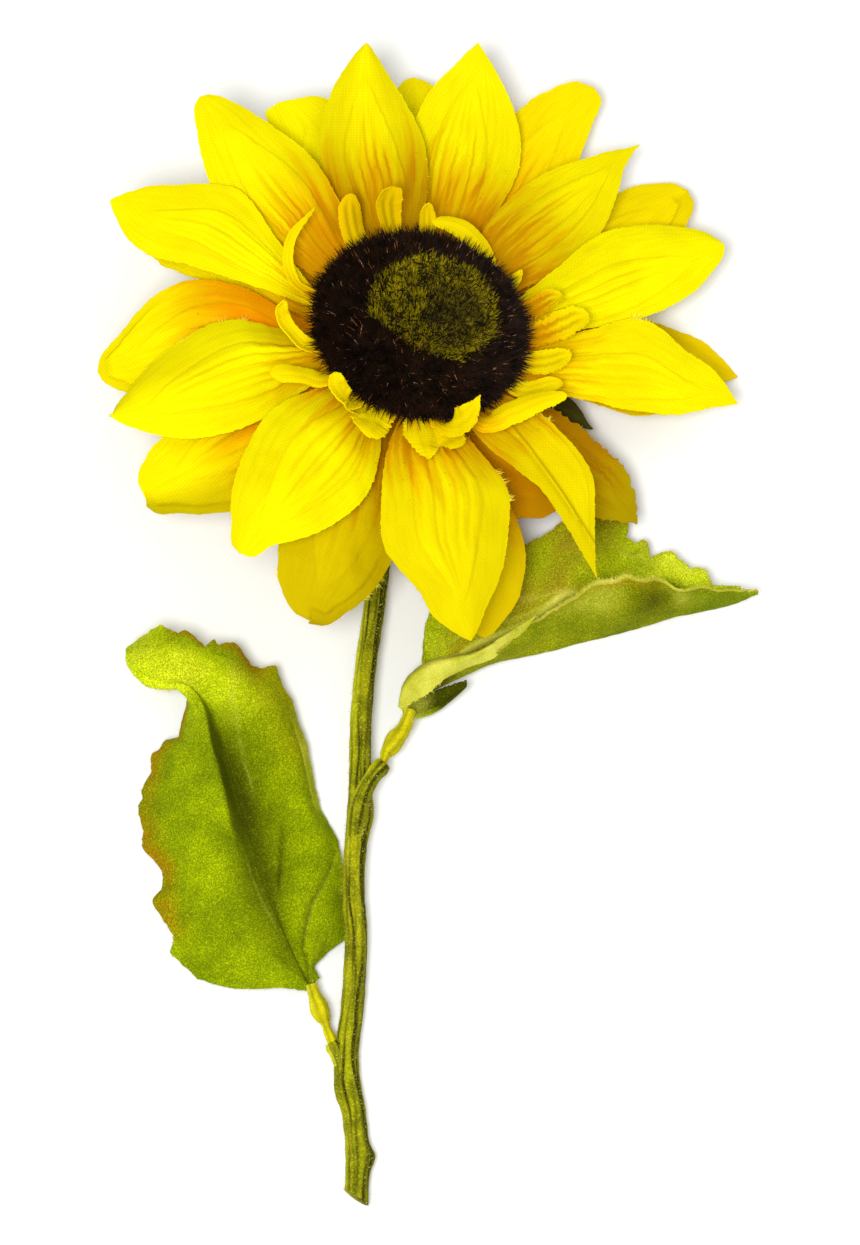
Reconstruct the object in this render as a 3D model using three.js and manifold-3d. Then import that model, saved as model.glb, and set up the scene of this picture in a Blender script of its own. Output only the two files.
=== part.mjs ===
// Artificial sunflower stem: one flower head, two leaves and a short forked stem, lying on a level surface.
// Millimetres. +Z is up from the surface, +Y runs from the cut end of the stem to the flower head.
// The origin is on the surface, under the middle of the whole piece.
import * as THREE from 'three';
import Module from 'manifold-3d';
import { mergeVertices } from 'three/addons/utils/BufferGeometryUtils.js';

// ---------- driving dimensions ----------
const SEAT = 0.3;                    // clearance left wherever one piece rests on another

const HEAD_CENTRE = [-2.8, 60.8, 27];  // middle of the disc's underside
const HEAD_LEAN_RIGHT = 11;          // degrees that the flower's face turns to +X
const HEAD_LEAN_BACK = 13.2;         // degrees that it turns away from the cut end

const DISC_RADIUS = 26.5;
const DISC_RISE = 12.5;
const DISC_EDGE = 1;                 // bevel round the disc's underside
const DISC_LEVEL = 1.5;              // underside of the disc above the head's own zero

const CORE_RADIUS = 16;              // drum under the disc that every petal is glued round
const CORE_TOP = DISC_LEVEL - SEAT;
const CUP_DEPTH = 14;                // from the head's zero down to the stem's socket

const PETAL_WIDTH = 26;
const PETAL_FOOT_SHARE = 0.3;        // width of a petal's foot as a share of its widest part
const PETAL_BELLY = 0.5;             // where a petal is widest, as a share of its length
const PETAL_CUP = 0.03;              // lift of a petal's edges as a share of its half width
const PETAL_THICKNESS = 0.6;
const FRONT_LEVEL = -3.6;            // height of the front petals' feet
const BACK_LEVEL = -6.8;

const FLORET_LEVEL = 0.3;
const FLORET_THICKNESS = 0.5;

const SEPAL_COUNT = 8;
const FIRST_SEPAL = -14.5;           // azimuth of the first sepal
const SEPAL_REACH = 44;
const SEPAL_WIDTH = 13;
const SEPAL_LEVEL = -9.3;
const SEPAL_DROP = -14.5;            // mean height of the sepals' tips
const SEPAL_DROOP = 3.5;             // how much lower they hang on the stem's side

const STEM_RADIUS = 2.65;            // at the cut end
const STEM_TAPER = 0.15;             // share of the radius lost by the neck
const STEM_SIDES = 10;
const STEM_STEPS = 38;
const CUT_SLANT = 0.62;              // millimetres along the stem for each one across it
const LEAF_THICKNESS = 0.7;

const COLOURS = {
  petal: 0xf7e60c,
  floret: 0xf0dc20,
  sepal: 0x3d4f14,
  disc: 0x2a1a10,
  core: 0x4f6a1a,
  stem: 0x9c9a1c,
  sleeve: 0xb4ad0c,
  leaf: 0x7c9a0a,
};

// ---------- materials and solids ----------
const fabric = (colour) => new THREE.MeshStandardMaterial({
  color: colour, roughness: 0.85, metalness: 0, side: THREE.DoubleSide,
});
const plastic = (colour) => new THREE.MeshStandardMaterial({ color: colour, roughness: 0.6, metalness: 0 });

const wasm = await Module();
wasm.setup();

/** Shared-vertex copy of a closed geometry, with nothing but positions left on it. */
function welded(geometry) {
  const bare = geometry.clone();
  bare.deleteAttribute('normal');
  bare.deleteAttribute('uv');
  return mergeVertices(bare, 1e-5);
}

function toSolid(geometry) {
  const shape = welded(geometry);
  return new wasm.Manifold(new wasm.Mesh({
    numProp: 3,
    vertProperties: Float32Array.from(shape.attributes.position.array),
    triVerts: Uint32Array.from(shape.index.array),
  }));
}

function toGeometry(solid) {
  const mesh = solid.getMesh();
  const shape = new THREE.BufferGeometry();
  shape.setAttribute('position', new THREE.BufferAttribute(Float32Array.from(mesh.vertProperties), 3));
  shape.setIndex(new THREE.BufferAttribute(Uint32Array.from(mesh.triVerts), 1));
  shape.computeVertexNormals();
  return shape;
}

function named(name, geometry, material) {
  const mesh = new THREE.Mesh(geometry, material);
  mesh.name = name;
  return mesh;
}

const point = ([x, y, z]) => new THREE.Vector3(x, y, z);
const route = (points) => new THREE.CatmullRomCurve3(points.map(point), false, 'centripetal');

// ---------- shapes that every part is made from ----------

/** Thin sheet. at(t, s) is its middle surface, with t from foot to tip and s from -1 to 1 across. */
function sheet(at, rows, columns, thickness) {
  const geometry = new THREE.BoxGeometry(1, 2, 1, rows, columns, 1);
  const places = geometry.attributes.position;
  const step = 1e-3;
  for (let i = 0; i < places.count; i += 1) {
    const t = places.getX(i) + 0.5;
    const s = places.getY(i);
    const alongBlade = at(Math.min(t + step, 1), s).sub(at(Math.max(t - step, 0), s));
    const acrossBlade = at(t, Math.min(s + step, 1)).sub(at(t, Math.max(s - step, -1)));
    const out = alongBlade.cross(acrossBlade).normalize();
    const place = at(t, s).addScaledVector(out, places.getZ(i) * thickness);
    places.setXYZ(i, place.x, place.y, place.z);
  }
  const shape = welded(geometry);
  shape.computeVertexNormals();
  return shape;
}

/** Blade along a spine: half(t) is its half width, roll(t) turns it about the spine, cup lifts its edges. */
function blade({ spine, half, roll, cup, rows, columns, thickness }) {
  const upward = new THREE.Vector3(0, 0, 1);
  return sheet((t, s) => {
    const along = spine.getTangent(t);
    const side = upward.clone().cross(along).normalize();
    side.applyAxisAngle(along, THREE.MathUtils.degToRad(roll));
    const up = along.clone().cross(side);
    const reach = half(t);
    return spine.getPoint(t).addScaledVector(side, s * reach).addScaledVector(up, cup * reach * s * s);
  }, rows, columns, thickness);
}

/** Round bar along a curve: radius(t) is its radius, and slant shears its first end into a sloping cut. */
function bar(curve, radius, sides, steps, slant = 0) {
  const geometry = new THREE.CylinderGeometry(1, 1, 1, sides, steps);
  const places = geometry.attributes.position;
  const upward = new THREE.Vector3(0, 0, 1);
  let side = null;
  const frames = [];
  for (let k = 0; k <= steps; k += 1) {
    const along = curve.getTangentAt(k / steps);
    side = side ?? upward.clone().cross(along);
    side.addScaledVector(along, -side.dot(along)).normalize();
    frames.push({ middle: curve.getPointAt(k / steps), along, side: side.clone(), up: along.clone().cross(side) });
  }
  for (let i = 0; i < places.count; i += 1) {
    const t = places.getY(i) + 0.5;
    const frame = frames[Math.round(t * steps)];
    const size = radius(t);
    const across = places.getX(i) * size;
    const place = frame.middle.clone().addScaledVector(frame.side, across);
    place.addScaledVector(frame.up, -places.getZ(i) * size);
    place.addScaledVector(frame.along, t === 0 ? across * slant : 0);
    places.setXYZ(i, place.x, place.y, place.z);
  }
  return geometry;
}

// ---------- flower head, built face up about its own zero and then leaned over ----------
const polar = (radius, azimuth, height) => new THREE.Vector3(
  radius * Math.cos(THREE.MathUtils.degToRad(azimuth)),
  radius * Math.sin(THREE.MathUtils.degToRad(azimuth)),
  height,
);

/** Spine that leaves the drum along one azimuth and ends at another, arched in between. */
function petalSpine(footRadius, level, { foot, tip, reach, rise, arch }) {
  const third = (reach - footRadius) / 3;
  return new THREE.CubicBezierCurve3(
    polar(footRadius, foot, level),
    polar(footRadius + third, foot, level + (rise - level) / 3 + arch),
    polar(reach - third, (foot + 2 * tip) / 3, level + (rise - level) * 2 / 3 + arch),
    polar(reach, tip, rise),
  );
}

/** Spine of a floret: flat until it is clear of the disc's edge, then turned up. */
function floretSpine({ foot, tip, reach, rise }) {
  const edge = DISC_RADIUS + 0.8;
  return new THREE.CubicBezierCurve3(
    polar(CORE_RADIUS + SEAT, foot, FLORET_LEVEL),
    polar(edge, foot, FLORET_LEVEL - 0.4),
    polar(edge + (reach - edge) * 0.45, tip, FLORET_LEVEL + rise * 0.2),
    polar(reach, tip, rise),
  );
}

/** Half width of a petal: a narrow foot, a full belly and a pointed tip. */
function petalHalf(t, width) {
  const narrow = PETAL_FOOT_SHARE;
  const swell = Math.sin(Math.min(t / PETAL_BELLY, 1) * Math.PI / 2) ** 1.5;
  const taper = Math.cos(Math.max((t - PETAL_BELLY) / (1 - PETAL_BELLY), 0) * Math.PI / 2) ** 0.85;
  return Math.max(width / 2 * (narrow + (1 - narrow) * swell) * taper, 0.3);
}

// Azimuths and rolls in degrees, lengths in millimetres. A positive roll lifts the edge on the side of
// the next higher azimuth, so that each petal laps over its neighbour as they do on the made flower.
const FRONT_PETALS = [
  { foot: 130, tip: 130, reach: 79.8, rise: 6, arch: 1.5, width: 1, roll: -12 },
  { foot: 157, tip: 153.5, reach: 80.3, rise: -3, arch: 5, width: 0.9, roll: -12 },
  { foot: 190, tip: 194.6, reach: 74.2, rise: -12, arch: 6, width: 1, roll: -10 },
  { foot: 228, tip: 232.5, reach: 72.4, rise: -6, arch: 4, width: 1.08, roll: -10 },
  { foot: 273, tip: 278.6, reach: 75.2, rise: -12, arch: 7, width: 1.08, roll: 0 },
  { foot: 308, tip: 304.4, reach: 71.4, rise: -6, arch: 4, width: 0.66, roll: 6 },
  { foot: 350, tip: 352.7, reach: 77.8, rise: -3, arch: 3, width: 1, roll: 12 },
  { foot: 21, tip: 20.8, reach: 80.1, rise: 6, arch: 1, width: 0.92, roll: 12 },
  { foot: 49, tip: 45, reach: 77.6, rise: 9, arch: 0, width: 0.9, roll: 12 },
  { foot: 75, tip: 78.7, reach: 79.8, rise: 13, arch: -3.5, width: 0.9, roll: -2 },
  { foot: 102, tip: 98.5, reach: 77.2, rise: 12, arch: -1, width: 1, roll: -10 },
];
const BACK_PETALS = [
  { foot: 181, tip: 183.4, reach: 73.7, rise: -16, arch: 2, width: 1, roll: -9 },
  { foot: 212, tip: 212.3, reach: 73, rise: -18, arch: 2, width: 1, roll: -9 },
  { foot: 247, tip: 250.2, reach: 72.1, rise: -18, arch: 2, width: 1.05, roll: -9 },
  { foot: 281, tip: 283.5, reach: 70.4, rise: -20, arch: 3, width: 0.85, roll: -9 },
  { foot: 309, tip: 309.7, reach: 49.3, rise: -15, arch: -0.5, width: 0.68, roll: 9 },
  { foot: 333, tip: 325.8, reach: 63.2, rise: -16, arch: 2, width: 0.85, roll: -6 },
  { foot: 3, tip: 2.2, reach: 79.9, rise: -10.8, arch: 0, width: 0.95, roll: -9 },
  { foot: 34, tip: 34.9, reach: 81, rise: 2.5, arch: -2, width: 0.95, roll: -9 },
  { foot: 61, tip: 57.3, reach: 81.5, rise: 6.5, arch: -2, width: 0.9, roll: 6 },
  { foot: 88, tip: 88.2, reach: 81, rise: -8.4, arch: 1, width: 0.95, roll: 0 },
  { foot: 117, tip: 114.2, reach: 75.4, rise: -6, arch: 0, width: 0.95, roll: -9 },
  { foot: 148, tip: 147, reach: 68, rise: -12, arch: 1, width: 0.95, roll: -9 },
];
const FLORETS = [
  { foot: 134, tip: 129, reach: 42, rise: 6, width: 3.4 },
  { foot: 117, tip: 117, reach: 38.5, rise: 8, width: 5 },
  { foot: 100, tip: 103, reach: 37, rise: 10, width: 4.6 },
  { foot: 84, tip: 88, reach: 34, rise: 8, width: 3.8 },
  { foot: 66, tip: 68, reach: 31, rise: 7, width: 6.4 },
  { foot: 40, tip: 37, reach: 31, rise: 5, width: 3.6 },
  { foot: 22, tip: 20, reach: 36, rise: 5, width: 4.2 },
  { foot: 5, tip: 9, reach: 40.5, rise: 5, width: 4.4 },
  { foot: 350, tip: 353, reach: 36, rise: 4, width: 4.2 },
  { foot: 332, tip: 338, reach: 36, rise: 4, width: 4.8 },
  { foot: 306, tip: 303, reach: 30.5, rise: 8, width: 4.6 },
  { foot: 274, tip: 272, reach: 31, rise: 2, width: 4.8 },
  { foot: 250, tip: 252, reach: 30.5, rise: 3, width: 4.4 },
  { foot: 222, tip: 218, reach: 29.5, rise: 7, width: 4.4 },
  { foot: 200, tip: 201, reach: 37, rise: 3, width: 4.8 },
  { foot: 168, tip: 169, reach: 34, rise: 4, width: 4.4 },
];

function petals(prefix, rows, level) {
  return rows.map((shape, index) => {
    const spine = petalSpine(CORE_RADIUS + SEAT, level, shape);
    const width = PETAL_WIDTH * shape.width;
    const geometry = blade({
      spine,
      half: (t) => petalHalf(t, width),
      roll: shape.roll,
      cup: PETAL_CUP,
      rows: 9,
      columns: 4,
      thickness: PETAL_THICKNESS,
    });
    return named(`${prefix}_${index + 1}`, geometry, fabric(COLOURS.petal));
  });
}

function florets() {
  return FLORETS.map((shape, index) => {
    const geometry = blade({
      spine: floretSpine(shape),
      half: (t) => Math.max(shape.width / 2 * Math.sqrt(Math.max(1 - t ** 3, 0)), 0.3),
      roll: 0,
      cup: 0,
      rows: 5,
      columns: 2,
      thickness: FLORET_THICKNESS,
    });
    return named(`floret_${index + 1}`, geometry, fabric(COLOURS.floret));
  });
}

function sepals() {
  return Array.from({ length: SEPAL_COUNT }, (unused, index) => {
    const azimuth = FIRST_SEPAL + index * 360 / SEPAL_COUNT;
    const rise = SEPAL_DROP + SEPAL_DROOP * Math.sin(THREE.MathUtils.degToRad(azimuth));
    const shape = { foot: azimuth, tip: azimuth, reach: SEPAL_REACH, rise, arch: -0.5 };
    const geometry = blade({
      spine: petalSpine(CORE_RADIUS + SEAT, SEPAL_LEVEL, shape),
      half: (t) => Math.max(SEPAL_WIDTH / 2 * Math.cos(t * Math.PI / 2) ** 0.8, 0.3),
      roll: 0,
      cup: 0,
      rows: 6,
      columns: 2,
      thickness: PETAL_THICKNESS,
    });
    return named(`sepal_${index + 1}`, geometry, fabric(COLOURS.sepal));
  });
}

/** Domed cushion of pile in the middle of the flower. */
function disc() {
  const profile = [new THREE.Vector2(0, DISC_LEVEL), new THREE.Vector2(DISC_RADIUS - DISC_EDGE, DISC_LEVEL)];
  const steps = 8;
  for (let k = 0; k <= steps; k += 1) {
    const turn = k / steps * Math.PI / 2;
    const radius = DISC_RADIUS * Math.cos(turn) ** 0.8;
    const height = DISC_LEVEL + DISC_EDGE + (DISC_RISE - DISC_EDGE) * Math.sin(turn) ** 1.1;
    profile.push(new THREE.Vector2(k === steps ? 0 : radius, height));
  }
  const geometry = new THREE.LatheGeometry(profile, 26);
  geometry.rotateX(Math.PI / 2);
  return named('disc', toGeometry(toSolid(geometry)), fabric(COLOURS.disc));
}

/** Green cup behind the petals with the drum that they are glued round. */
function calyxCup() {
  const outline = [
    [0, -CUP_DEPTH], [3.6, -CUP_DEPTH], [5, -CUP_DEPTH + 1.5], [CORE_RADIUS - 2, -CUP_DEPTH + 2.6],
    [CORE_RADIUS, SEPAL_LEVEL - 0.8], [CORE_RADIUS, CORE_TOP], [0, CORE_TOP],
  ];
  const geometry = new THREE.LatheGeometry(outline.map(([r, z]) => new THREE.Vector2(r, z)), 24);
  geometry.rotateX(Math.PI / 2);
  return named('cup', toGeometry(toSolid(geometry)), fabric(COLOURS.core));
}

// ---------- stem, forks and leaf sleeves ----------
const STEM_ROUTE = [
  [-16.9, -138.6, 2.79], [-16.6, -129, 2.76], [-17.2, -120.9, 2.7], [-19, -108, 2.68], [-17.8, -92.9, 3.4],
  [-17.1, -81.1, 4.4], [-17.7, -64.5, 5], [-16.5, -45.3, 5.5], [-15.8, -21.1, 6], [-12.9, 3.5, 6],
  [-10.4, 22, 6.1], [-8.4, 38, 6.2], [-7.4, 48.5, 6.4], [-6.8, 54, 7.8], [-6.1, 56.4, 10.2], [-5.53, 57.4, 13],
];
const UPPER_FORK_ROUTE = [[-16, -51.5, 5.3], [-14.6, -44.5, 5.4], [-12.9, -39.6, 5.5], [-11, -36.8, 5.6]];
const UPPER_PEG_ROUTE = [[-11.3, -37.2, 5.6], [-10.6, -35, 5.6], [-10.4, -33.9, 5.6]];
const UPPER_SLEEVE_ROUTE = [[-10.3, -33.5, 5.6], [-8.9, -31.2, 5.8], [-7, -28, 6], [-5.4, -24.4, 6.1]];
const LOWER_FORK_ROUTE = [[-18.6, -114.6, 2.7], [-20.4, -108.6, 2.9], [-22.1, -104.8, 3.2], [-23.4, -102.4, 3.5]];
const LOWER_PEG_ROUTE = [[-23.2, -102.8, 3.5], [-24, -101, 3.7], [-24.1, -100.2, 3.7]];
const LOWER_SLEEVE_ROUTE = [[-24.2, -99.8, 3.7], [-25, -96.6, 3.9], [-26.2, -93, 4.2], [-27, -90, 4.4]];

const stemRadius = (t) => STEM_RADIUS * (1 - STEM_TAPER * t);
const forkRadius = (t) => 2.1 - 0.2 * t;
const pegRadius = () => 1;
const sleeveRadius = (t) => 1.15 + 0.6 * Math.sin(Math.PI * (0.15 + 0.8 * t));

function stem() {
  const shape = bar(route(STEM_ROUTE), stemRadius, STEM_SIDES, STEM_STEPS, CUT_SLANT);
  return named('stem', toGeometry(toSolid(shape)), plastic(COLOURS.stem));
}

/** Stub that grows out of the stem, with the thin peg that a leaf's sleeve plugs on to. */
function fork(name, forkPoints, pegPoints) {
  const limb = toSolid(bar(route(forkPoints), forkRadius, 8, 10));
  const peg = toSolid(bar(route(pegPoints), pegRadius, 8, 3));
  const clearance = toSolid(bar(route(STEM_ROUTE), (t) => stemRadius(t) + SEAT, STEM_SIDES, STEM_STEPS));
  return named(name, toGeometry(limb.add(peg).subtract(clearance)), plastic(COLOURS.stem));
}

function sleeve(name, points) {
  return named(name, toGeometry(toSolid(bar(route(points), sleeveRadius, 8, 8))), plastic(COLOURS.sleeve));
}

// ---------- leaves ----------

/** Sheet stretched between curves that run side by side from a leaf's foot to its tip. */
function leafPiece(name, lines, rows, columns) {
  const curves = lines.map(route);
  const spans = curves.length - 1;
  const at = (t, s) => {
    const place = (s + 1) / 2 * spans;
    const left = Math.min(Math.floor(place), spans - 1);
    return curves[left].getPoint(t).lerp(curves[left + 1].getPoint(t), place - left);
  };
  return named(name, sheet(at, rows, columns, LEAF_THICKNESS), fabric(COLOURS.leaf));
}

// Left leaf: a trough along the midrib, with its outer third curled away to the left.
const LEFT_LEAF = {
  rightMargin: [
    [-26.2, -88.6, 3.9], [-20.3, -77, 1], [-20.5, -62, 0.9], [-23.8, -49, 1.6], [-30, -34, 5], [-36.7, -14.2, 9],
  ],
  rightCrest: [
    [-26.6, -88.9, 4.1], [-24.2, -73, 4.6], [-24.6, -58, 5.4], [-28.6, -44, 7.4], [-33, -30, 9.4], [-39, -15.4, 10],
  ],
  midrib: [
    [-27.1, -89.2, 4.2], [-30.6, -76, 2.6], [-35.3, -59, 2.2], [-41.5, -42.2, 3], [-47.2, -28.2, 5], [-52, -20.4, 8],
  ],
  leftRidge: [
    [-27.6, -89.4, 4.1], [-36, -77, 4.4], [-41.8, -63, 7.4], [-47.6, -47, 10.4], [-52.2, -33, 12.2], [-55, -22.4, 12.4],
  ],
  leftMargin: [
    [-28.2, -89.6, 3.8], [-47, -89.4, 0.8], [-63, -74, 0.7], [-67, -54, 1], [-65.6, -37, 3], [-56.8, -26, 9.4],
  ],
};
const LEFT_TIP = {
  topMargin: [
    [-36.9, -13.4, 9.1], [-43, -12.2, 9.6], [-50.2, -8.5, 11], [-57, -6.6, 12], [-64, -5.4, 12], [-70.6, -11.6, 10],
  ],
  middle: [
    [-52.4, -19.6, 8.4], [-56, -17, 9.6], [-59.5, -15.2, 10.4], [-63, -14, 10.8], [-67, -13, 10.8], [-70.8, -12.4, 10],
  ],
  lowMargin: [
    [-55.2, -21.6, 12.7], [-58, -21, 12.9], [-62, -20.6, 12.8], [-65.4, -19.6, 12.6], [-68.7, -17.6, 12],
    [-71, -13.2, 10],
  ],
};

// Right leaf: folded along its midrib, the near half standing up and the far half lying back.
const RIGHT_LEAF_MIDRIB = [
  [-5.1, -23.7, 6.2], [2.4, -20.2, 4.3], [11.9, -12.3, 1.9], [21.2, -9.2, 0.9], [35.3, -5.4, 0.65],
  [49.4, -2.1, 1.8], [63.5, 1.1, 4.5], [77, 4.2, 9],
];
const RIGHT_LEAF_FAR_MIDRIB = [
  [-1.2, -20.4, 5.1], [4, -17.3, 3.9], [12.6, -10.1, 2.3], [21.6, -7.8, 1.5], [35.5, -4.1, 1.3],
  [49.4, -1, 2.2], [63.5, 2.5, 4.9], [73, 5.4, 8],
];
const RIGHT_LEAF_NEAR_MARGIN = [
  [-5.6, -21.2, 8.6], [-0.4, -13.6, 12.4], [12, -9.4, 13.8], [25, -3.6, 15.8], [39.5, 2.6, 20.4],
  [51.3, 4.2, 18.6], [63.2, 4.4, 13], [77, 4.5, 10],
];
const RIGHT_LEAF_FAR_MARGIN = [
  [-0.5, -19, 6], [0, -6, 9.4], [9.4, 6.2, 8.6], [22.4, 14.3, 6.6], [36, 22.8, 5.6],
  [50, 19.6, 4.6], [64, 9.6, 5.6], [73, 6.4, 7.6],
];
const RIGHT_LEAF_EAR = {
  lowMargin: [[-4, -25, 5.2], [0, -23.6, 4.2], [4.5, -22.4, 5], [8.8, -19, 8.6]],
  highMargin: [[-3.8, -24.2, 5], [0, -22.8, 3.6], [4.5, -20.2, 2.8], [8.6, -18.2, 8.6]],
};

function leaves() {
  const { rightMargin, rightCrest, midrib, leftRidge, leftMargin } = LEFT_LEAF;
  return [
    leafPiece('leaf_left', [rightMargin, rightCrest, midrib, leftRidge, leftMargin], 16, 8),
    leafPiece('leaf_left_tip', [LEFT_TIP.topMargin, LEFT_TIP.middle, LEFT_TIP.lowMargin], 8, 4),
    leafPiece('leaf_right_near', [RIGHT_LEAF_MIDRIB, RIGHT_LEAF_NEAR_MARGIN], 14, 3),
    leafPiece('leaf_right_far', [RIGHT_LEAF_FAR_MIDRIB, RIGHT_LEAF_FAR_MARGIN], 14, 3),
    leafPiece('leaf_right_ear', [RIGHT_LEAF_EAR.lowMargin, RIGHT_LEAF_EAR.highMargin], 6, 2),
  ];
}

// ---------- assembly ----------
const head = new THREE.Group();
head.add(
  disc(),
  calyxCup(),
  ...petals('petal_front', FRONT_PETALS, FRONT_LEVEL),
  ...petals('petal_back', BACK_PETALS, BACK_LEVEL),
  ...florets(),
  ...sepals(),
);
head.rotation.set(
  -THREE.MathUtils.degToRad(HEAD_LEAN_BACK),
  THREE.MathUtils.degToRad(HEAD_LEAN_RIGHT),
  0,
  'YXZ',
);
head.position.set(...HEAD_CENTRE);

const sunflower = new THREE.Group();
sunflower.add(
  stem(),
  fork('fork_upper', UPPER_FORK_ROUTE, UPPER_PEG_ROUTE),
  fork('fork_lower', LOWER_FORK_ROUTE, LOWER_PEG_ROUTE),
  sleeve('sleeve_upper', UPPER_SLEEVE_ROUTE),
  sleeve('sleeve_lower', LOWER_SLEEVE_ROUTE),
  ...leaves(),
  head,
);

export default sunflower;
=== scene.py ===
"""Artificial sunflower stem: woven petals, a disc of pile, flocked leaves and a flocked plastic stem.

It lies on a pale floor, at rest. Pieces are modelled on a bench in millimetres, most of them flat or
straight, bent along a wire where they need it, and then set down at their place in metres.
"""
import functools
import math

import bmesh
import bpy
import numpy as np
from mathutils import Matrix, Vector, noise


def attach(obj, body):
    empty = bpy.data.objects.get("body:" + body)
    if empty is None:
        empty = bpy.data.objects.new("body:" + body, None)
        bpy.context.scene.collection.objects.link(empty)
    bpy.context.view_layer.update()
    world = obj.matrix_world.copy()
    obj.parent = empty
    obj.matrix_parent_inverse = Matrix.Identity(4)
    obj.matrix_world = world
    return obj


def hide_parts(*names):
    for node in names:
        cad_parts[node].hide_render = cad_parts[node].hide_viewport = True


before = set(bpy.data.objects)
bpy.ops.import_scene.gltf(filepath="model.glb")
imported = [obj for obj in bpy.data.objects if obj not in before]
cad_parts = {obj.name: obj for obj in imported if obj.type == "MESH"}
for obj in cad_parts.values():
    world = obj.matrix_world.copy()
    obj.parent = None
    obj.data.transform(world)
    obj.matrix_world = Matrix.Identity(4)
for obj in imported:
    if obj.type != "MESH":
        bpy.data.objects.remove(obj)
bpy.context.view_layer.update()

# ---------- driving sizes, in millimetres and degrees ----------
MM = 0.001

CAMERA_PLACE = (0, -0.436, 1.3415)      # in metres
CAMERA_LEAN = 18
CAMERA_LENS = 173
MIDDLE = (0, 0, 0.01)        # point that the lights face, in metres

HEAD_CENTRE = (-2.8, 60.8, 27)
HEAD_LEAN_RIGHT = 11
HEAD_LEAN_BACK = 13.2

DISC_RADIUS = 26.5
DISC_LEVEL = 1.5
DISC_TOP = 14
DISC_SHIFT = 2.1             # how far the disc sits from the middle of the calyx
DOME_SIDE = 0.8              # below 1 the cushion's side is fuller than a ball's, and above 1 slacker
DOME_TOP = 1.1
PILE_DEPTH = 2.8             # from the cushion's outline down to the roots of the pile
MASK_CENTRE = (2.4, 0.6)     # the olive part of the pile
MASK_RADIUS = 15
CORE_RADIUS = 16             # radius of the drum under the disc
CUP_DEPTH = 14
SEAT = 0.3                   # gap between a piece and the one that it sits on

PETAL_FOOT = 4               # most that a petal's foot measures from its spine to its edge
STATIONS = np.array((0, 0.2, 0.4, 0.6, 0.8, 0.9, 1))     # shares of a petal's length where its width is given
CLOTH = 0.35                 # thickness of the petals' cloth
FRONT_LEVEL = -3.6           # height of the petals' feet on the drum under the disc
BACK_LEVEL = -6.8
FLORET_LEVEL = 0.3

SEPAL_COUNT = 8
FIRST_SEPAL = -11            # azimuth of the first sepal
SEPAL_LEVEL = -9.3           # height of the sepals' feet
SEPAL_REACH = 46

STEM_RADIUS = 2.65
CUT_PLACE = (-16.9, -139, 2.79)         # a point on the cut at the stem's lower end
CUT_WAY = (-0.553, -0.833, 0.003)       # square to the cut
FLOCKED_CLOTH = 0.6          # thickness of a leaf with its flock
FLOOR_GAP = 0.1              # least height of a petal's cloth and of loose hairs above the floor

BENCH = Matrix.Scale(MM, 4)
HEAD = (
    Matrix.Translation(Vector(HEAD_CENTRE) * MM)
    @ Matrix.Rotation(math.radians(HEAD_LEAN_RIGHT), 4, "Y")
    @ Matrix.Rotation(math.radians(-HEAD_LEAN_BACK), 4, "X")
    @ BENCH
)


# ---------- camera, light and floor ----------
def new_object(name, data):
    thing = bpy.data.objects.new(name, data)
    bpy.context.scene.collection.objects.link(thing)
    return thing


def camera():
    lens = bpy.data.cameras.new("studio_camera")
    lens.lens = CAMERA_LENS
    lens.sensor_width = 36
    eye = new_object("studio_camera", lens)
    eye.location = CAMERA_PLACE
    eye.rotation_euler = (math.radians(CAMERA_LEAN), 0, 0)
    bpy.context.scene.camera = eye


def soft_box(name, place, size, power):
    """Round soft light that faces the middle of the piece."""
    lamp = bpy.data.lights.new(name, "AREA")
    lamp.shape = "DISK"
    lamp.size = size
    lamp.energy = power
    box = new_object(name, lamp)
    box.location = place
    box.rotation_euler = (Vector(MIDDLE) - box.location).to_track_quat("-Z", "Y").to_euler()


def studio():
    soft_box("key_light", (-0.2, -0.5, 1.3), 0.55, 17.5)
    soft_box("fill_light", (0.9, 0.5, 0.9), 0.9, 3)
    world = bpy.data.worlds.new("studio")
    world.use_nodes = True
    background = world.node_tree.nodes["Background"].inputs
    background["Color"].default_value = (1, 1, 1, 1)
    background["Strength"].default_value = 0.66
    bpy.context.scene.world = world
    bpy.context.scene.view_settings.view_transform = "Standard"

    deselect()
    bpy.ops.mesh.primitive_plane_add(size=6)
    floor = bpy.context.object
    floor.name = "floor"
    floor.data.materials.append(floor_paint())


# ---------- materials ----------
def colour(code):
    """Linear colour of an sRGB hex value."""
    parts = [int(code[i:i + 2], 16) / 255 for i in (0, 2, 4)]
    return [c / 12.92 if c <= 0.04045 else ((c + 0.055) / 1.055) ** 2.4 for c in parts] + [1]


def add_node(tree, kind, *inputs, result=None, **settings):
    """Adds a node and gives its first result, or the one named. The inputs, which are values or other
    nodes' results, fill its open sockets in turn. A setting with a capital names a socket, and any other
    a property."""
    node = tree.nodes.new("ShaderNode" + kind)
    for key, value in settings.items():
        if not key[0].isupper():
            setattr(node, key, value)
    pairs = list(zip([socket for socket in node.inputs if socket.enabled], inputs))
    for key, value in settings.items():
        if key[0].isupper():
            pairs.append((node.inputs[key.replace("_", " ")], value))
    for socket, value in pairs:
        if isinstance(value, bpy.types.NodeSocket):
            tree.links.new(value, socket)
        else:
            socket.default_value = value
    return node.outputs[result] if result else next(socket for socket in node.outputs if socket.enabled)


def new_material(name):
    """New material, its shader, and the function that adds a node to it."""
    material = bpy.data.materials.new(name)
    material.use_nodes = True
    tree = material.node_tree
    return material, tree.nodes["Principled BSDF"], functools.partial(add_node, tree)


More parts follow.
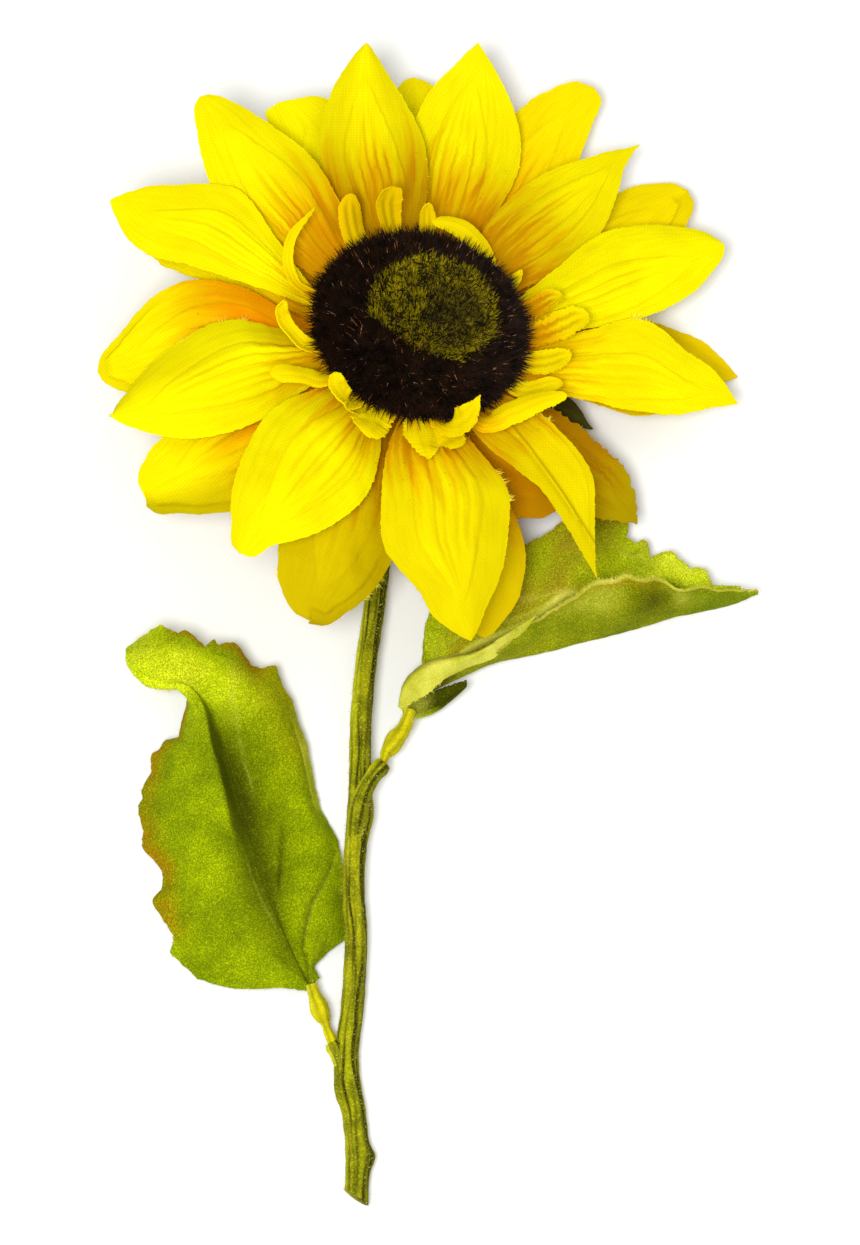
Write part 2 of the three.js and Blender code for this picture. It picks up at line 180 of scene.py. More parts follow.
def finish_shader(shader, tint, roughness, gloss, relief=None):
    tree = shader.id_data
    tree.links.new(tint, shader.inputs["Base Color"])
    if relief:
        tree.links.new(relief, shader.inputs["Normal"])
    shader.inputs["Roughness"].default_value = roughness
    shader.inputs["Specular IOR Level"].default_value = gloss


def floor_paint():
    """Matt white studio board: plain, with the faintest mottling."""
    material, shader, add = new_material("studio_board")
    mottle = add("TexNoise", Vector=add("TexCoord", result="Object"), Scale=6)
    tint = add("Mix", mottle, colour("E4E4E2"), colour("ECECEA"), data_type="RGBA")
    finish_shader(shader, tint, 0.9, 0.2)
    return material


def petal_cloth():
    """Printed plain-weave polyester, heat-pressed: strong matt yellow, threads just showing, dyed foot."""
    material, shader, add = new_material("woven_polyester_petal")
    place = add("TexCoord", result="Object")
    blade = add("UVMap", uv_map="UVMap")
    along = add("SeparateXYZ", blade)
    dye, gold, groove, seam, shade = (
        add("Attribute", attribute_name=name, result="Fac")
        for name in ("dye", "gold", "groove", "seam", "shade"))

    # The dye is sprayed on from the foot: a broad blush, and darker streaks that run up between the ribs.
    shift = add("VectorMath", place, 60, operation="SCALE")
    patch = add("VectorMath", add("Mapping", blade, Scale=(1.6, 10, 1)), shift)
    streaks = add("TexNoise", Vector=patch, Scale=1.1, Detail=3, Roughness=0.6)
    reach = add("Math", dye, along, operation="SUBTRACT")
    wander = add("Math", streaks, 2.2, -1.1, operation="MULTIPLY_ADD")
    depth = add("Math", reach, 3.2, wander, operation="MULTIPLY_ADD")
    near_foot = add("Math", reach, 0.18, use_clamp=True)
    in_groove = add("Math", groove, near_foot, operation="MULTIPLY")
    depth = add("Math", in_groove, 2.2, depth, operation="MULTIPLY_ADD", use_clamp=True)
    blush = add("MapRange", depth, 0, 0.9)
    deep = add("MapRange", depth, 0.55, 1.22)
    # Some petals are tinted more golden, and more orange where the dye is deeper.
    golden = add("Mix", depth, colour("FFC400"), colour("FF9000"), data_type="RGBA")

    # Small drops of the dye land further out.
    drops = add("TexVoronoi", Vector=place, Scale=1 / (2.6 * MM), Randomness=1)
    spots = add("Math", add("MapRange", drops, 0.19, 0, 0, 0.85), add("MapRange", reach, -0.1, 0.23),
                operation="MULTIPLY")
    sparse = add("MapRange", drops.node.outputs["Color"], 0.6, 0.68)
    spots = add("Math", spots, sparse, operation="MULTIPLY")

    # Uneven printing, and painted shade in fine creases, in the grooves and towards the foot by the disc.
    cloud = add("MapRange", add("TexNoise", Vector=place, Scale=1 / (14 * MM), Detail=3), 0.35, 0.7, 0, 0.3)
    creases = add("VectorMath", add("Mapping", blade, Scale=(6, 26, 1)), shift)
    creases = add("TexNoise", Vector=creases, Scale=1, Detail=3, Roughness=0.6)
    creases = add("MapRange", creases, 0.42, 0.68, 0, 0.24)
    foot = add("MapRange", along, 0.38, 0, 0, 0.38)

    # Threads lie 0.35 mm apart on the real cloth. They are drawn 0.7 mm apart, so that they show.
    # A wave texture repeats every pi / (10 * scale).
    thread = 0.7
    warp, weft = (
        add("TexWave", Vector=add("UVMap", uv_map="cloth"), Scale=math.pi / (10 * thread), Distortion=0.4,
            Detail_Scale=0.3, bands_direction=way, result="Fac") for way in "XY")
    weave = add("Math", warp, weft, operation="MULTIPLY")
    gaps = add("MapRange", weave, 1, 0, 0, 0.24)

    dyed = colour("FFFA00")
    # The hem and fold lines and the shade mark darken the cloth too, as painted shade.
    for share, tint in (
        (blush, colour("F0A000")), (deep, colour("CC6C00")), (gold, golden), (spots, colour("A85400")),
        (cloud, colour("E6CA00")), (creases, colour("D6BC00")),
        (add("Math", groove, 0.5, operation="MULTIPLY"), colour("C0A000")), (foot, colour("A87400")),
        (add("Math", seam, 0.5, operation="MULTIPLY"), colour("B49200")), (shade, colour("806200")),
        (gaps, colour("BEA200")),
    ):
        dyed = add("Mix", share, dyed, tint, data_type="RGBA")
    finish_shader(shader, dyed, 0.7, 0.02, add("Bump", Strength=0.4, Distance=0.12 * MM, Height=weave))

    # One thin layer of cloth lets some of the light through.
    mixed = add("MixShader", 0.2, shader.outputs[0], add("BsdfTranslucent", dyed))
    material.node_tree.links.new(mixed, material.node_tree.nodes["Material Output"].inputs["Surface"])
    return material


def flock_leaf():
    """Fabric leaf under sprayed flock: grainy green, browned at its teeth, pale on its underside, with
    painted shade and light.
    """
    material, shader, add = new_material("flocked_leaf_cloth")
    place = add("TexCoord", result="Object")
    pale, lime, valley, edge = (
        add("Attribute", attribute_name=name, result="Fac") for name in ("pale", "lime", "valley", "edge"))
    broad = add("TexNoise", Vector=place, Scale=1 / (9 * MM), Detail=4, Roughness=0.6)
    broad = add("MapRange", broad, 0.36, 0.66)
    grain = add("TexNoise", Vector=place, Scale=1 / (0.36 * MM), Detail=2, Roughness=0.7)
    grain = add("MapRange", grain, 0.38, 0.64)
    limes, pales = (
        add("Mix", broad, colour(low), colour(high), data_type="RGBA")
        for low, high in (("D4EA08", "F2FC24"), ("B8B82A", "E2DE58")))
    browned = add("Math", edge, add("Math", broad, 0.4), operation="MULTIPLY", use_clamp=True)
    strength = add("Math", pale, -0.4, 0.62, operation="MULTIPLY_ADD")
    dark = add("Math", add("MapRange", grain, 1, 0), strength, operation="MULTIPLY")
    fleck = add("MapRange", grain, 0.72, 1, 0, 0.1)
    green = colour("829600")
    # The valley mark darkens the sheet with painted shade, and the lime mark brightens it with painted light.
    for share, tint in (
        (broad, colour("AABE00")), (lime, limes), (valley, colour("3E4200")), (browned, colour("A88402")),
        (pale, pales), (dark, colour("353C00")), (fleck, colour("DCE218")),
    ):
        green = add("Mix", share, green, tint, data_type="RGBA")
    finish_shader(shader, green, 0.9, 0.05, add("Bump", Strength=0.6, Distance=0.25 * MM, Height=grain))
    return material


def flock_stem(name, light, dark, deep):
    """Moulded polyethylene under a thin flock: dusty yellow-green ribs, with painted shade in the grooves and
    on one side, and painted light on the other.
    """
    material, shader, add = new_material(name)
    place = add("TexCoord", result="Object")
    pale, groove = (add("Attribute", attribute_name=name, result="Fac") for name in ("pale", "groove"))
    broad = add("TexNoise", Vector=place, Scale=1 / (5 * MM), Detail=3)
    grain = add("TexNoise", Vector=place, Scale=1 / (0.5 * MM), Detail=2, Roughness=0.7)
    grain = add("MapRange", grain, 0.34, 0.66)
    green = colour(dark)
    for share, tint in (
        (add("MapRange", broad, 0.35, 0.65), light),
        (add("Math", pale, add("Math", broad, 0.5), operation="MULTIPLY", use_clamp=True), "DCDC24"),
        (add("Math", groove, add("Math", grain, 0.65), operation="MULTIPLY", use_clamp=True), deep),
        (add("MapRange", grain, 1, 0, 0, 0.44), deep),
        (add("MapRange", grain, 0.72, 1, 0, 0.3), "DCDC2C"),
    ):
        green = add("Mix", share, green, colour(tint), data_type="RGBA")
    finish_shader(shader, green, 0.85, 0.08, add("Bump", Strength=0.6, Distance=0.25 * MM, Height=grain))
    return material


def dark_cloth():
    """Dyed green cloth of the calyx: dull, close woven."""
    material, shader, add = new_material("woven_calyx_cloth")
    place = add("TexCoord", result="Object")
    weave = add("TexNoise", Vector=place, Scale=1 / (0.9 * MM), Detail=2)
    green = add("Mix", add("TexNoise", Vector=place, Scale=1 / (9 * MM), Detail=3), colour("2E2404"),
                colour("4C4C0A"), data_type="RGBA")
    green = add("Mix", add("MapRange", weave, 0, 1, 0, 0.35), green, colour("1F2003"), data_type="RGBA")
    finish_shader(shader, green, 0.85, 0.15, add("Bump", Strength=0.5, Distance=0.15 * MM, Height=weave))
    return material


def fibre(name, low, high, roughness, gloss):
    """Nylon or viscose fibre: one colour that varies a little from tuft to tuft, dyed, except on the glint
    hairs, where it is a painted glint.
    """
    material, shader, add = new_material(name)
    tuft = add("TexNoise", Vector=add("TexCoord", result="Object"), Scale=1 / (3 * MM), Detail=2)
    tint = add("Mix", add("MapRange", tuft, 0.35, 0.65), colour(low), colour(high), data_type="RGBA")
    finish_shader(shader, tint, roughness, gloss)
    return material


# ---------- bench tools ----------
def deselect():
    bpy.ops.object.select_all(action="DESELECT")


def work_on(piece):
    deselect()
    piece.select_set(True)
    bpy.context.view_layer.objects.active = piece


def edit_all(piece):
    """Edit mode, with everything selected."""
    work_on(piece)
    bpy.ops.object.mode_set(mode="EDIT")
    bpy.ops.mesh.select_all(action="SELECT")


def modify(piece, kind, **settings):
    """Adds a modifier and applies it."""
    modifier = piece.modifiers.new(kind.lower(), kind)
    for key, value in settings.items():
        setattr(modifier, key, value)
    work_on(piece)
    bpy.ops.object.modifier_apply(modifier=modifier.name)


def clouds(name, size):
    texture = bpy.data.textures.new(name, "CLOUDS")
    texture.noise_scale = size
    texture.noise_depth = 2


def crumple(piece, texture, strength):
    """Uneven slack or lumps, from a cloud texture that stays where it is while pieces move through it."""
    modify(piece, "DISPLACE", texture=bpy.data.textures[texture], texture_coords="GLOBAL", strength=strength,
           mid_level=0.5)


def points_of(piece):
    places = np.empty(len(piece.data.vertices) * 3)
    piece.data.vertices.foreach_get("co", places)
    return places.reshape(-1, 3)


def move_points(piece, places):
    piece.data.vertices.foreach_set("co", np.ascontiguousarray(places, float).ravel())
    piece.data.update()


def shift_points(piece, amounts, axis=2):
    """Moves each point by its own amount along one axis, which is upwards unless it is given."""
    places = points_of(piece)
    places[:, axis] += amounts
    move_points(piece, places)


def keep_above(piece, low):
    places = points_of(piece)
    places[:, 2] = np.maximum(places[:, 2], low)
    move_points(piece, places)


def mark(piece, most=1, **numbers):
    """Stores numbers for each point by name, for the material to read. They stay between 0 and most."""
    for name, values in numbers.items():
        layer = piece.data.attributes.new(name, "FLOAT", "POINT")
        values = np.broadcast_to(np.clip(values, 0, most), len(piece.data.vertices))
        layer.data.foreach_set("value", np.ascontiguousarray(values, np.float32))


def cloth_map(piece, turn):
    """Second UV map: the flat cloth in millimetres, with its threads turned by that many degrees."""
    layer = piece.data.uv_layers.new(name="cloth")
    corners = np.empty(len(piece.data.loops), int)
    piece.data.loops.foreach_get("vertex_index", corners)
    c, s = math.cos(math.radians(turn)), math.sin(math.radians(turn))
    flat = points_of(piece)[corners, :2] @ np.array([[c, -s], [s, c]])
    layer.data.foreach_set("uv", flat.ravel())


def smooth(piece, angle=60):
    work_on(piece)
    bpy.ops.object.shade_smooth_by_angle(angle=math.radians(angle))


def set_down(piece, name, place, material, slot, *nodes):
    """Takes a piece from the bench to its place, names it, gives it its material, and hides the model's parts
    that it stands for.
    """
    piece.name = name
    piece.data.name = name
    piece.matrix_world = place
    work_on(piece)
    bpy.ops.object.transform_apply(location=True, rotation=True, scale=True)
    piece.data.materials.clear()
    piece.data.materials.append(material)
    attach(piece, "root")
    if nodes:
        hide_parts(*nodes)


def finish_cloth(piece, thickness, name, place, material, slot, *nodes):
    """Gives a piece of cloth its thickness and takes it to its place."""
    modify(piece, "SOLIDIFY", thickness=thickness, offset=0)
    smooth(piece)
    set_down(piece, name, place, material, slot, *nodes)


def step(low, high, values):
    """Smooth step from 0 at low to 1 at high."""
    share = np.clip((np.asarray(values) - low) / (high - low), 0, 1)
    return share * share * (3 - 2 * share)


def window(values, rise, full, fall, end):
    """Smooth rise from 0 to 1 between the first two limits, and fall back to 0 between the last two."""
    return step(rise, full, values) * (1 - step(fall, end, values))


def hump(values, centre, width):
    """Bell curve: 1 at its centre, and 0.37 at one width from it."""
    return np.exp(-((values - centre) / width) ** 2)


def run_length(points):
    return float(np.linalg.norm(np.diff(np.asarray(points, float), axis=0), axis=1).sum())


def through(points, place):
    """Smooth curve through points: its points at the given shares of its length."""
    points = np.asarray(points, float)
    spans = len(points) - 1
    place = np.clip(np.asarray(place, float), 0, 1) * spans
    first = np.minimum(place.astype(int), spans - 1)
    share = (place - first)[:, None]
    ends = np.vstack([2 * points[0] - points[1], points, 2 * points[-1] - points[-2]])
    a, b, c, d = (ends[first + k] for k in range(4))
    return b + 0.5 * share * (c - a + share * (2 * a - 5 * b + 4 * c - d + share * (3 * (b - c) + d - a)))


def cornered(points, place):
    """Broken line through (share, x, y, z) points: its points at the given shares."""
    points = np.asarray(points, float)
    return np.stack([np.interp(place, points[:, 0], points[:, axis]) for axis in (1, 2, 3)], 1)


def bend(piece, points, tilt=0, handles=None):
    """Bends a straight piece along a guide wire through the points. Given handles, the wire is a Bezier curve
    with those two inner knots, between two points."""
    data = bpy.data.curves.new("guide_wire", "CURVE")
    data.dimensions = "3D"
    data.twist_mode = "Z_UP"
    data.use_stretch = True
    data.use_deform_bounds = True
    data.resolution_u = 24
    spline = data.splines.new("BEZIER")
    spline.bezier_points.add(len(points) - 1)
    for knot, point in zip(spline.bezier_points, points):
        knot.co = point
        knot.tilt = math.radians(tilt)
        knot.handle_left_type = knot.handle_right_type = "FREE" if handles else "AUTO"
    if handles:
        first, last = spline.bezier_points
        first.handle_right = handles[0]
        first.handle_left = 2 * Vector(points[0]) - Vector(handles[0])
        last.handle_left = handles[1]
        last.handle_right = 2 * Vector(points[1]) - Vector(handles[1])
    guide = new_object("guide_wire", data)
    modify(piece, "CURVE", object=guide, deform_axis="POS_X")
    bpy.data.objects.remove(guide)
    bpy.data.curves.remove(data)


# ---------- petals ----------
def polar(radius, azimuth, height):
    turn = math.radians(azimuth)
    return Vector((radius * math.cos(turn), radius * math.sin(turn), height))


def petal_spine(level, foot, tip, reach, rise, arch):
    """Leaves the drum along one azimuth and ends at another, arched in between."""
    start = CORE_RADIUS + SEAT
    third = (reach - start) / 3
    return (
        polar(start, foot, level),
        polar(start + third, foot, level + (rise - level) / 3 + arch),
        polar(reach - third, (foot + 2 * tip) / 3, level + (rise - level) * 2 / 3 + arch),
        polar(reach, tip, rise),
    )


def spine_length(spine):
    t = np.linspace(0, 1, 40)[:, None]
    a, b, c, d = (np.array(knot) for knot in spine)
    return run_length(a * (1 - t) ** 3 + 3 * b * t * (1 - t) ** 2 + 3 * c * t ** 2 * (1 - t) + d * t ** 3)


def bend_blade(piece, spine, tilt=0):
    bend(piece, (spine[0], spine[3]), tilt, (spine[1], spine[2]))


def margin(widths, point, t):
    """Distance from a petal's spine to its edge. widths are given at the inner stations of its length. A
    lower point makes a blunter tip."""
    values = np.array((min(0.6 * widths[0], PETAL_FOOT), *widths, 0))
    slopes = np.gradient(values, STATIONS)
    t = np.clip(np.asarray(t, float), 0, 1)
    first = np.clip(np.searchsorted(STATIONS, t, "right") - 1, 0, len(STATIONS) - 2)
    span = STATIONS[first + 1] - STATIONS[first]
    s = (t - STATIONS[first]) / span
    body = values[first] * (2 * s ** 3 - 3 * s ** 2 + 1) + values[first + 1] * (3 * s ** 2 - 2 * s ** 3)
    body += span * (slopes[first] * (s ** 3 - 2 * s ** 2 + s) + slopes[first + 1] * (s ** 3 - s ** 2))
    tip = widths[-1] * ((1 - t) / (1 - STATIONS[-2])) ** point
    return np.maximum(np.where(t < STATIONS[-2], body, tip), 0.02)


def blank(length, left, right, point, lean, rough, seed, rows=20, columns=20):
    """Flat petal as it is stamped: a grid drawn in to its outline row by row, then subdivided. Returns it
    with its points' places along it, from 0 to 1, and across it, from -1 to 1, and its half width at each."""
    deselect()
    bpy.ops.mesh.primitive_grid_add(x_subdivisions=rows, y_subdivisions=columns, size=1)
    piece = bpy.context.object
    bpy.ops.object.mode_set(mode="EDIT")
    bpy.ops.transform.resize(value=(length, 1, 1))
    bpy.ops.transform.translate(value=(length / 2, 0, 0))
    cage = bmesh.from_edit_mesh(piece.data)
    stops = np.linspace(0, 1, rows + 1)
    highs, lows = margin(left, point, stops), -margin(right, point, stops)
    for stop, high, low in zip(stops, highs, lows):
        for vertex in cage.verts:
            vertex.select = bool(abs(vertex.co.x - stop * length) < length / rows / 4)
        cage.select_flush_mode()
        bmesh.update_edit_mesh(piece.data)
        bpy.ops.transform.resize(value=(1, float(high - low), 1), center_override=(0, 0, 0))
        bpy.ops.transform.translate(value=(0, float(high + low) / 2, 0))
    bpy.ops.object.mode_set(mode="OBJECT")
    modify(piece, "SUBSURF", subdivision_type="SIMPLE", levels=2, render_levels=2)

    # The straight runs between the rows are eased into the true outline, with its uneven cut.
    places = points_of(piece)
    along = np.clip(places[:, 0] / length, 0, 1)
    high, low = np.interp(along, stops, highs), np.interp(along, stops, lows)
    across = np.clip((2 * places[:, 1] - high - low) / (high - low), -1, 1)
    random = np.random.default_rng(seed)
    ticks = np.linspace(0, 1, 4 * rows + 1)
    cuts = [np.interp(along, ticks, random.normal(0, rough, len(ticks))) for _ in range(2)]
    high = margin(left, point, along) + cuts[0] * step(0, 0.1, along)
    low = -margin(right, point, along) + cuts[1] * step(0, 0.1, along)
    high = np.maximum(high, low + 0.03)
    places[:, 1] = (high + low) / 2 + across * (high - low) / 2 + lean * step(0.8, 1, along)
    move_points(piece, places)
    return piece, along, across, (high - low) / 2


def press(piece, along, across, panel, ribs, height, seed):
    """Heat-pressed relief: a leaf-shaped panel stands up from the blade, with uneven ribs along it."""
    random = np.random.default_rng(seed)
    place = across - panel + 0.035 * np.sin(2 * math.pi * (1.1 * along + random.random()))
    half = 0.52 * np.sin(math.pi * np.clip((along + 0.04) / 0.9, 0, 1)) ** 0.55 + 0.02
    fade = window(along, 0.02, 0.1, 0.78, 0.88)
    inside = step(0.03, -0.05, np.abs(place) - half) * fade
    lift = 0.7 * inside
    groove = 0.45 * hump(np.abs(place), half, 0.02) * fade
    for rib in range(ribs):
        centre = ((rib + 0.5) / ribs * 2 - 1) * 0.84 + random.uniform(-0.06, 0.06)
        start, end = random.uniform(0.0, 0.12), random.uniform(0.62, 0.86)
        run = window(along, start, start + 0.1, end - 0.22, end) * inside
        wide = random.uniform(0.3, 0.42) / ribs
        lift += run * random.uniform(0.8, 1.6) * hump(place, centre * half, wide)
        valley = (centre + 1 / ribs) * half
        groove += run * random.uniform(0.2, 1.0) * hump(place, valley, 0.028)
    shift_points(piece, 1.35 * height * lift)
    # The grooves are marked for the material, which lets the dye run up them and darkens them with painted
    # shade.
    mark(piece, groove=groove)
    return inside


def rest_on_floor(piece, place, low):
    """Lifts the points that would lie lower than low above the floor, once the piece is at its place."""
    upright = np.array(place)[2] / MM
    height = points_of(piece) @ upright[:3] + upright[3]
    shift_points(piece, np.maximum(low - height, 0) / upright[2])


def shape_blade(piece, along, across, half, cup, lift, fold, hem, length):
    """Cups the blade, lifts its margins, turns one margin down along a fold and lays its hem, with painted
    shade along both.
    """
    places = points_of(piece)
    height = cup * half * across ** 2
    height += lift[0] * np.clip(across, 0, 1) ** 2 + lift[1] * np.clip(-across, 0, 1) ** 2
    height += 0.45 * np.cos(11 * across) * np.exp(-along / 0.09)
    seam = np.zeros(len(places))
    if hem:
        width, side, start = hem
        inset = np.minimum(half * (1 - np.abs(across)), (1 - along) * length)
        reach = step(start - 0.1, start + 0.1, along) * (step(-0.25, 0.1, across * side) if side else 1)
        band = (1 - step(width - 0.25, width + 0.25, inset)) * reach
        height -= 0.4 * band
        # Painted shade along the hem's edge and on the band turned under.
        seam = 0.8 * hump(inset, width, 0.3) * reach + 0.35 * band
    places[:, 2] += height
    if fold:
        place, angle = fold
        run = step(0.05, 0.3, along)
        beyond = np.clip(place - places[:, 1], 0, None) * run
        # Painted shade along the fold.
        seam = np.maximum(seam, run * hump(places[:, 1], place + 0.8, 0.4))
        places[:, 2] += 0.7 * run * hump(places[:, 1], place, 0.7)
        places[:, 1] += beyond * (1 - math.cos(math.radians(angle)))
        places[:, 2] -= beyond * math.sin(math.radians(angle))
    mark(piece, seam=seam)
    move_points(piece, places)


def loose_ends(piece, along, across, tufts, seed):
    """Roots and directions of the threads that stand out of a blade's cut edge, in tufts where it is torn."""
    random = np.random.default_rng(seed)
    places = points_of(piece)
    middle = np.flatnonzero(np.abs(across) < 0.1)
    middle = middle[np.argsort(along[middle])]
    roots, ways, lengths = [], [], []

    def thread(index, length, spread):
        inner = middle[min(np.searchsorted(along[middle], along[index]), len(middle) - 1)]
        way = places[index] - places[inner]
        way /= np.linalg.norm(way) + 1e-6
        roots.append(places[index] - 0.2 * way + random.normal(0, 0.12, 3))
        ways.append(way + random.normal(0, spread, 3))
        lengths.append(length)

    rim = np.flatnonzero((np.abs(across) > 0.999) & (along > 0.12))
    for index in random.choice(rim, min(70, len(rim)), replace=False):
        thread(index, random.uniform(0.3, 0.8), 0.6)
    for side, place in tufts:
        near = np.flatnonzero((across * side > 0.999) & (np.abs(along - place) < 0.02))
        for index in random.choice(near, 14):
            thread(index, random.uniform(0.8, 2.4), 0.55)
    return np.array(roots), np.array(ways), np.array(lengths)


def petal(name, node, level, cloth, course, left, right, point, lean=0.0, panel=0.0, ribs=5, height=0.3,
          cup=-0.08, lift=(0, 0), fold=None, hem=None, dye=0.3, shade=0.0, dusk=(0, 0), dim=0.0, gold=(0, 0),
          rough=0.08, tufts=(), columns=20):
    """Makes one petal and returns its loose threads."""
    foot, tip, reach, rise, arch, roll = course
    spine = petal_spine(level, foot, tip, reach, rise, arch)
    length = spine_length(spine)
    piece, along, across, half = blank(length, left, right, point, lean, rough, foot, columns=columns)
    cloth_map(piece, 37 * foot % 90)
    inside = press(piece, along, across, panel, ribs, height, foot)
    shape_blade(piece, along, across, half, cup, lift, fold, hem, length)
    # Painted shade: on one side or both (dusk), at the foot (dim), all along and most at the tip (shade), and
    # a little outside the raised panel.
    sides = dusk[0] * step(0.1, 0.8, across) + dusk[1] * step(0.1, 0.8, -across)
    sides = sides * step(0.1, 0.3, along) + dim * step(0.75, 0.3, along)
    mark(piece, most=2, dye=dye)
    mark(piece, gold=gold[0] + (gold[1] - gold[0]) * step(0.35, 0.85, along),
         shade=shade * (0.6 + 0.8 * along) + sides + 0.06 * (1 - inside))
    bend_blade(piece, spine, roll)
    piece.matrix_world = Matrix.Translation((foot, 0, 0))
    crumple(piece, "slack", 1.5)
    piece.matrix_world = Matrix.Identity(4)
    rest_on_floor(piece, HEAD, FLOOR_GAP + CLOTH)
    ends = loose_ends(piece, along, across, tufts, foot)
    finish_cloth(piece, CLOTH, name, HEAD, cloth, "petal_fabric", node)
    return ends


# A course is the azimuths of a petal's foot and tip, its tip's reach and height, its arch and its roll. left
# and right are its widths from its spine, on the side of the higher azimuth and on the other. lift and dusk
# are for the same two sides, dusk being painted shade there; dim is painted shade at the foot, shade is
# painted shade that grows towards the tip, and gold is for the foot and the tip. A fold is (place, angle), a
# hem is (width, side or 0 for both, share of the length where it starts), and a tuft is (side, share of the
# length).
FRONT_PETALS = (
    dict(course=(130, 130, 79.8, 6, 1.5, -12), left=(7, 11, 13.5, 9.6, 6), right=(6.5, 10.3, 11.6, 8.2, 6),
         point=0.5, dye=0.6, gold=(0.1, 0), dusk=(0, 0.08), dim=0.12),
    dict(course=(157, 153.5, 80.3, -3, 5, -12), left=(2.5, 4.6, 6.7, 8.7, 6.2),
         right=(3, 9.5, 16, 10.7, 6.8), point=0.8, dye=0.34, panel=0.1),
    dict(course=(190, 194.6, 74.2, -12, 6, -10), left=(8, 13, 14.3, 11.2, 7), right=(8, 13.1, 12.2, 7.7, 4),
         point=0.7, dye=0.36, dusk=(0, 0.14), panel=0.12, height=0.36, lift=(0, -2.6),
         tufts=((-1, 0.45), (-1, 0.5), (-1, 0.56), (-1, 0.62), (-1, 0.38))),
    dict(course=(228, 232.5, 72.4, -6, 4, -10), left=(12, 16.5, 15.6, 10.4, 5.4),
         right=(9, 12.7, 11.7, 8.3, 5.2), point=0.35, lean=1.2, dye=0.36, dusk=(0, 0.12), panel=0.12),
    dict(course=(273, 278.6, 75.2, -12, 7, 0), left=(11.2, 16.3, 14.4, 9.1, 4.6),
         right=(10, 13.8, 15.5, 9.3, 7), point=0.8, dye=0.42, shade=0.11, dusk=(0.1, 0.06),
         gold=(0.2, 0.14), tufts=((1, 0.33), (1, 0.37), (1, 0.45))),
    dict(course=(308, 304.4, 71.4, -6, 4, 6), left=(11, 12.8, 12.9, 6.6, 3.1),
         right=(4, 2, -0.9, -1.2, -0.8), point=1.3, dye=0.4, shade=0.18, gold=(0.3, 0.2), panel=0.3, ribs=0,
         height=0.1, cup=0, fold=(3.4, 52), tufts=((1, 0.3),)),
    dict(course=(350, 352.7, 77.8, -3, 3, 12), left=(7, 12.6, 17, 10.4, 7), right=(5, 5.6, 6.3, 5, 2.3),
         point=1, dye=0.42, gold=(0.2, 0), panel=-0.3, ribs=4, rough=0.12,
         tufts=((1, 0.56), (1, 0.58), (1, 0.6), (1, 0.62), (1, 0.59))),
    dict(course=(21, 20.8, 80.1, 6, 1, 12), left=(5.5, 9.4, 13.7, 11.2, 8), right=(5, 8.2, 9.7, 8.2, 5.6),
         point=0.5, lean=1, dye=0.3, panel=-0.25, ribs=4, lift=(-1.8, 0)),
    dict(course=(49, 45, 77.6, 9, 0, 12), left=(7, 10, 9.7, 5.6, 3.1), right=(7, 10.5, 11, 5.6, 1.7),
         point=1.2, dye=0.58, shade=0.1, dim=0.28, gold=(0.2, 0.05), panel=0.05, height=0.36),
    dict(course=(75, 78.7, 79.8, 13, -3.5, -2), left=(7, 10, 12, 9.3, 4.8),
         right=(7, 11.6, 14.7, 10.4, 5.6), point=0.9, dye=0.58, dim=0.28, gold=(0.1, 0), panel=0.08),
    dict(course=(102, 98.5, 77.2, 12, -1, -10), left=(7, 10.8, 13.5, 9.8, 6),
         right=(7, 11.2, 11.6, 6.9, 3.4), point=0.8, dye=0.66, dusk=(0.18, 0.22), dim=0.4, gold=(0.1, 0),
         height=0.36),
)
BACK_PLAIN = {"cup": -0.05, "ribs": 3, "height": 0.2, "columns": 12}
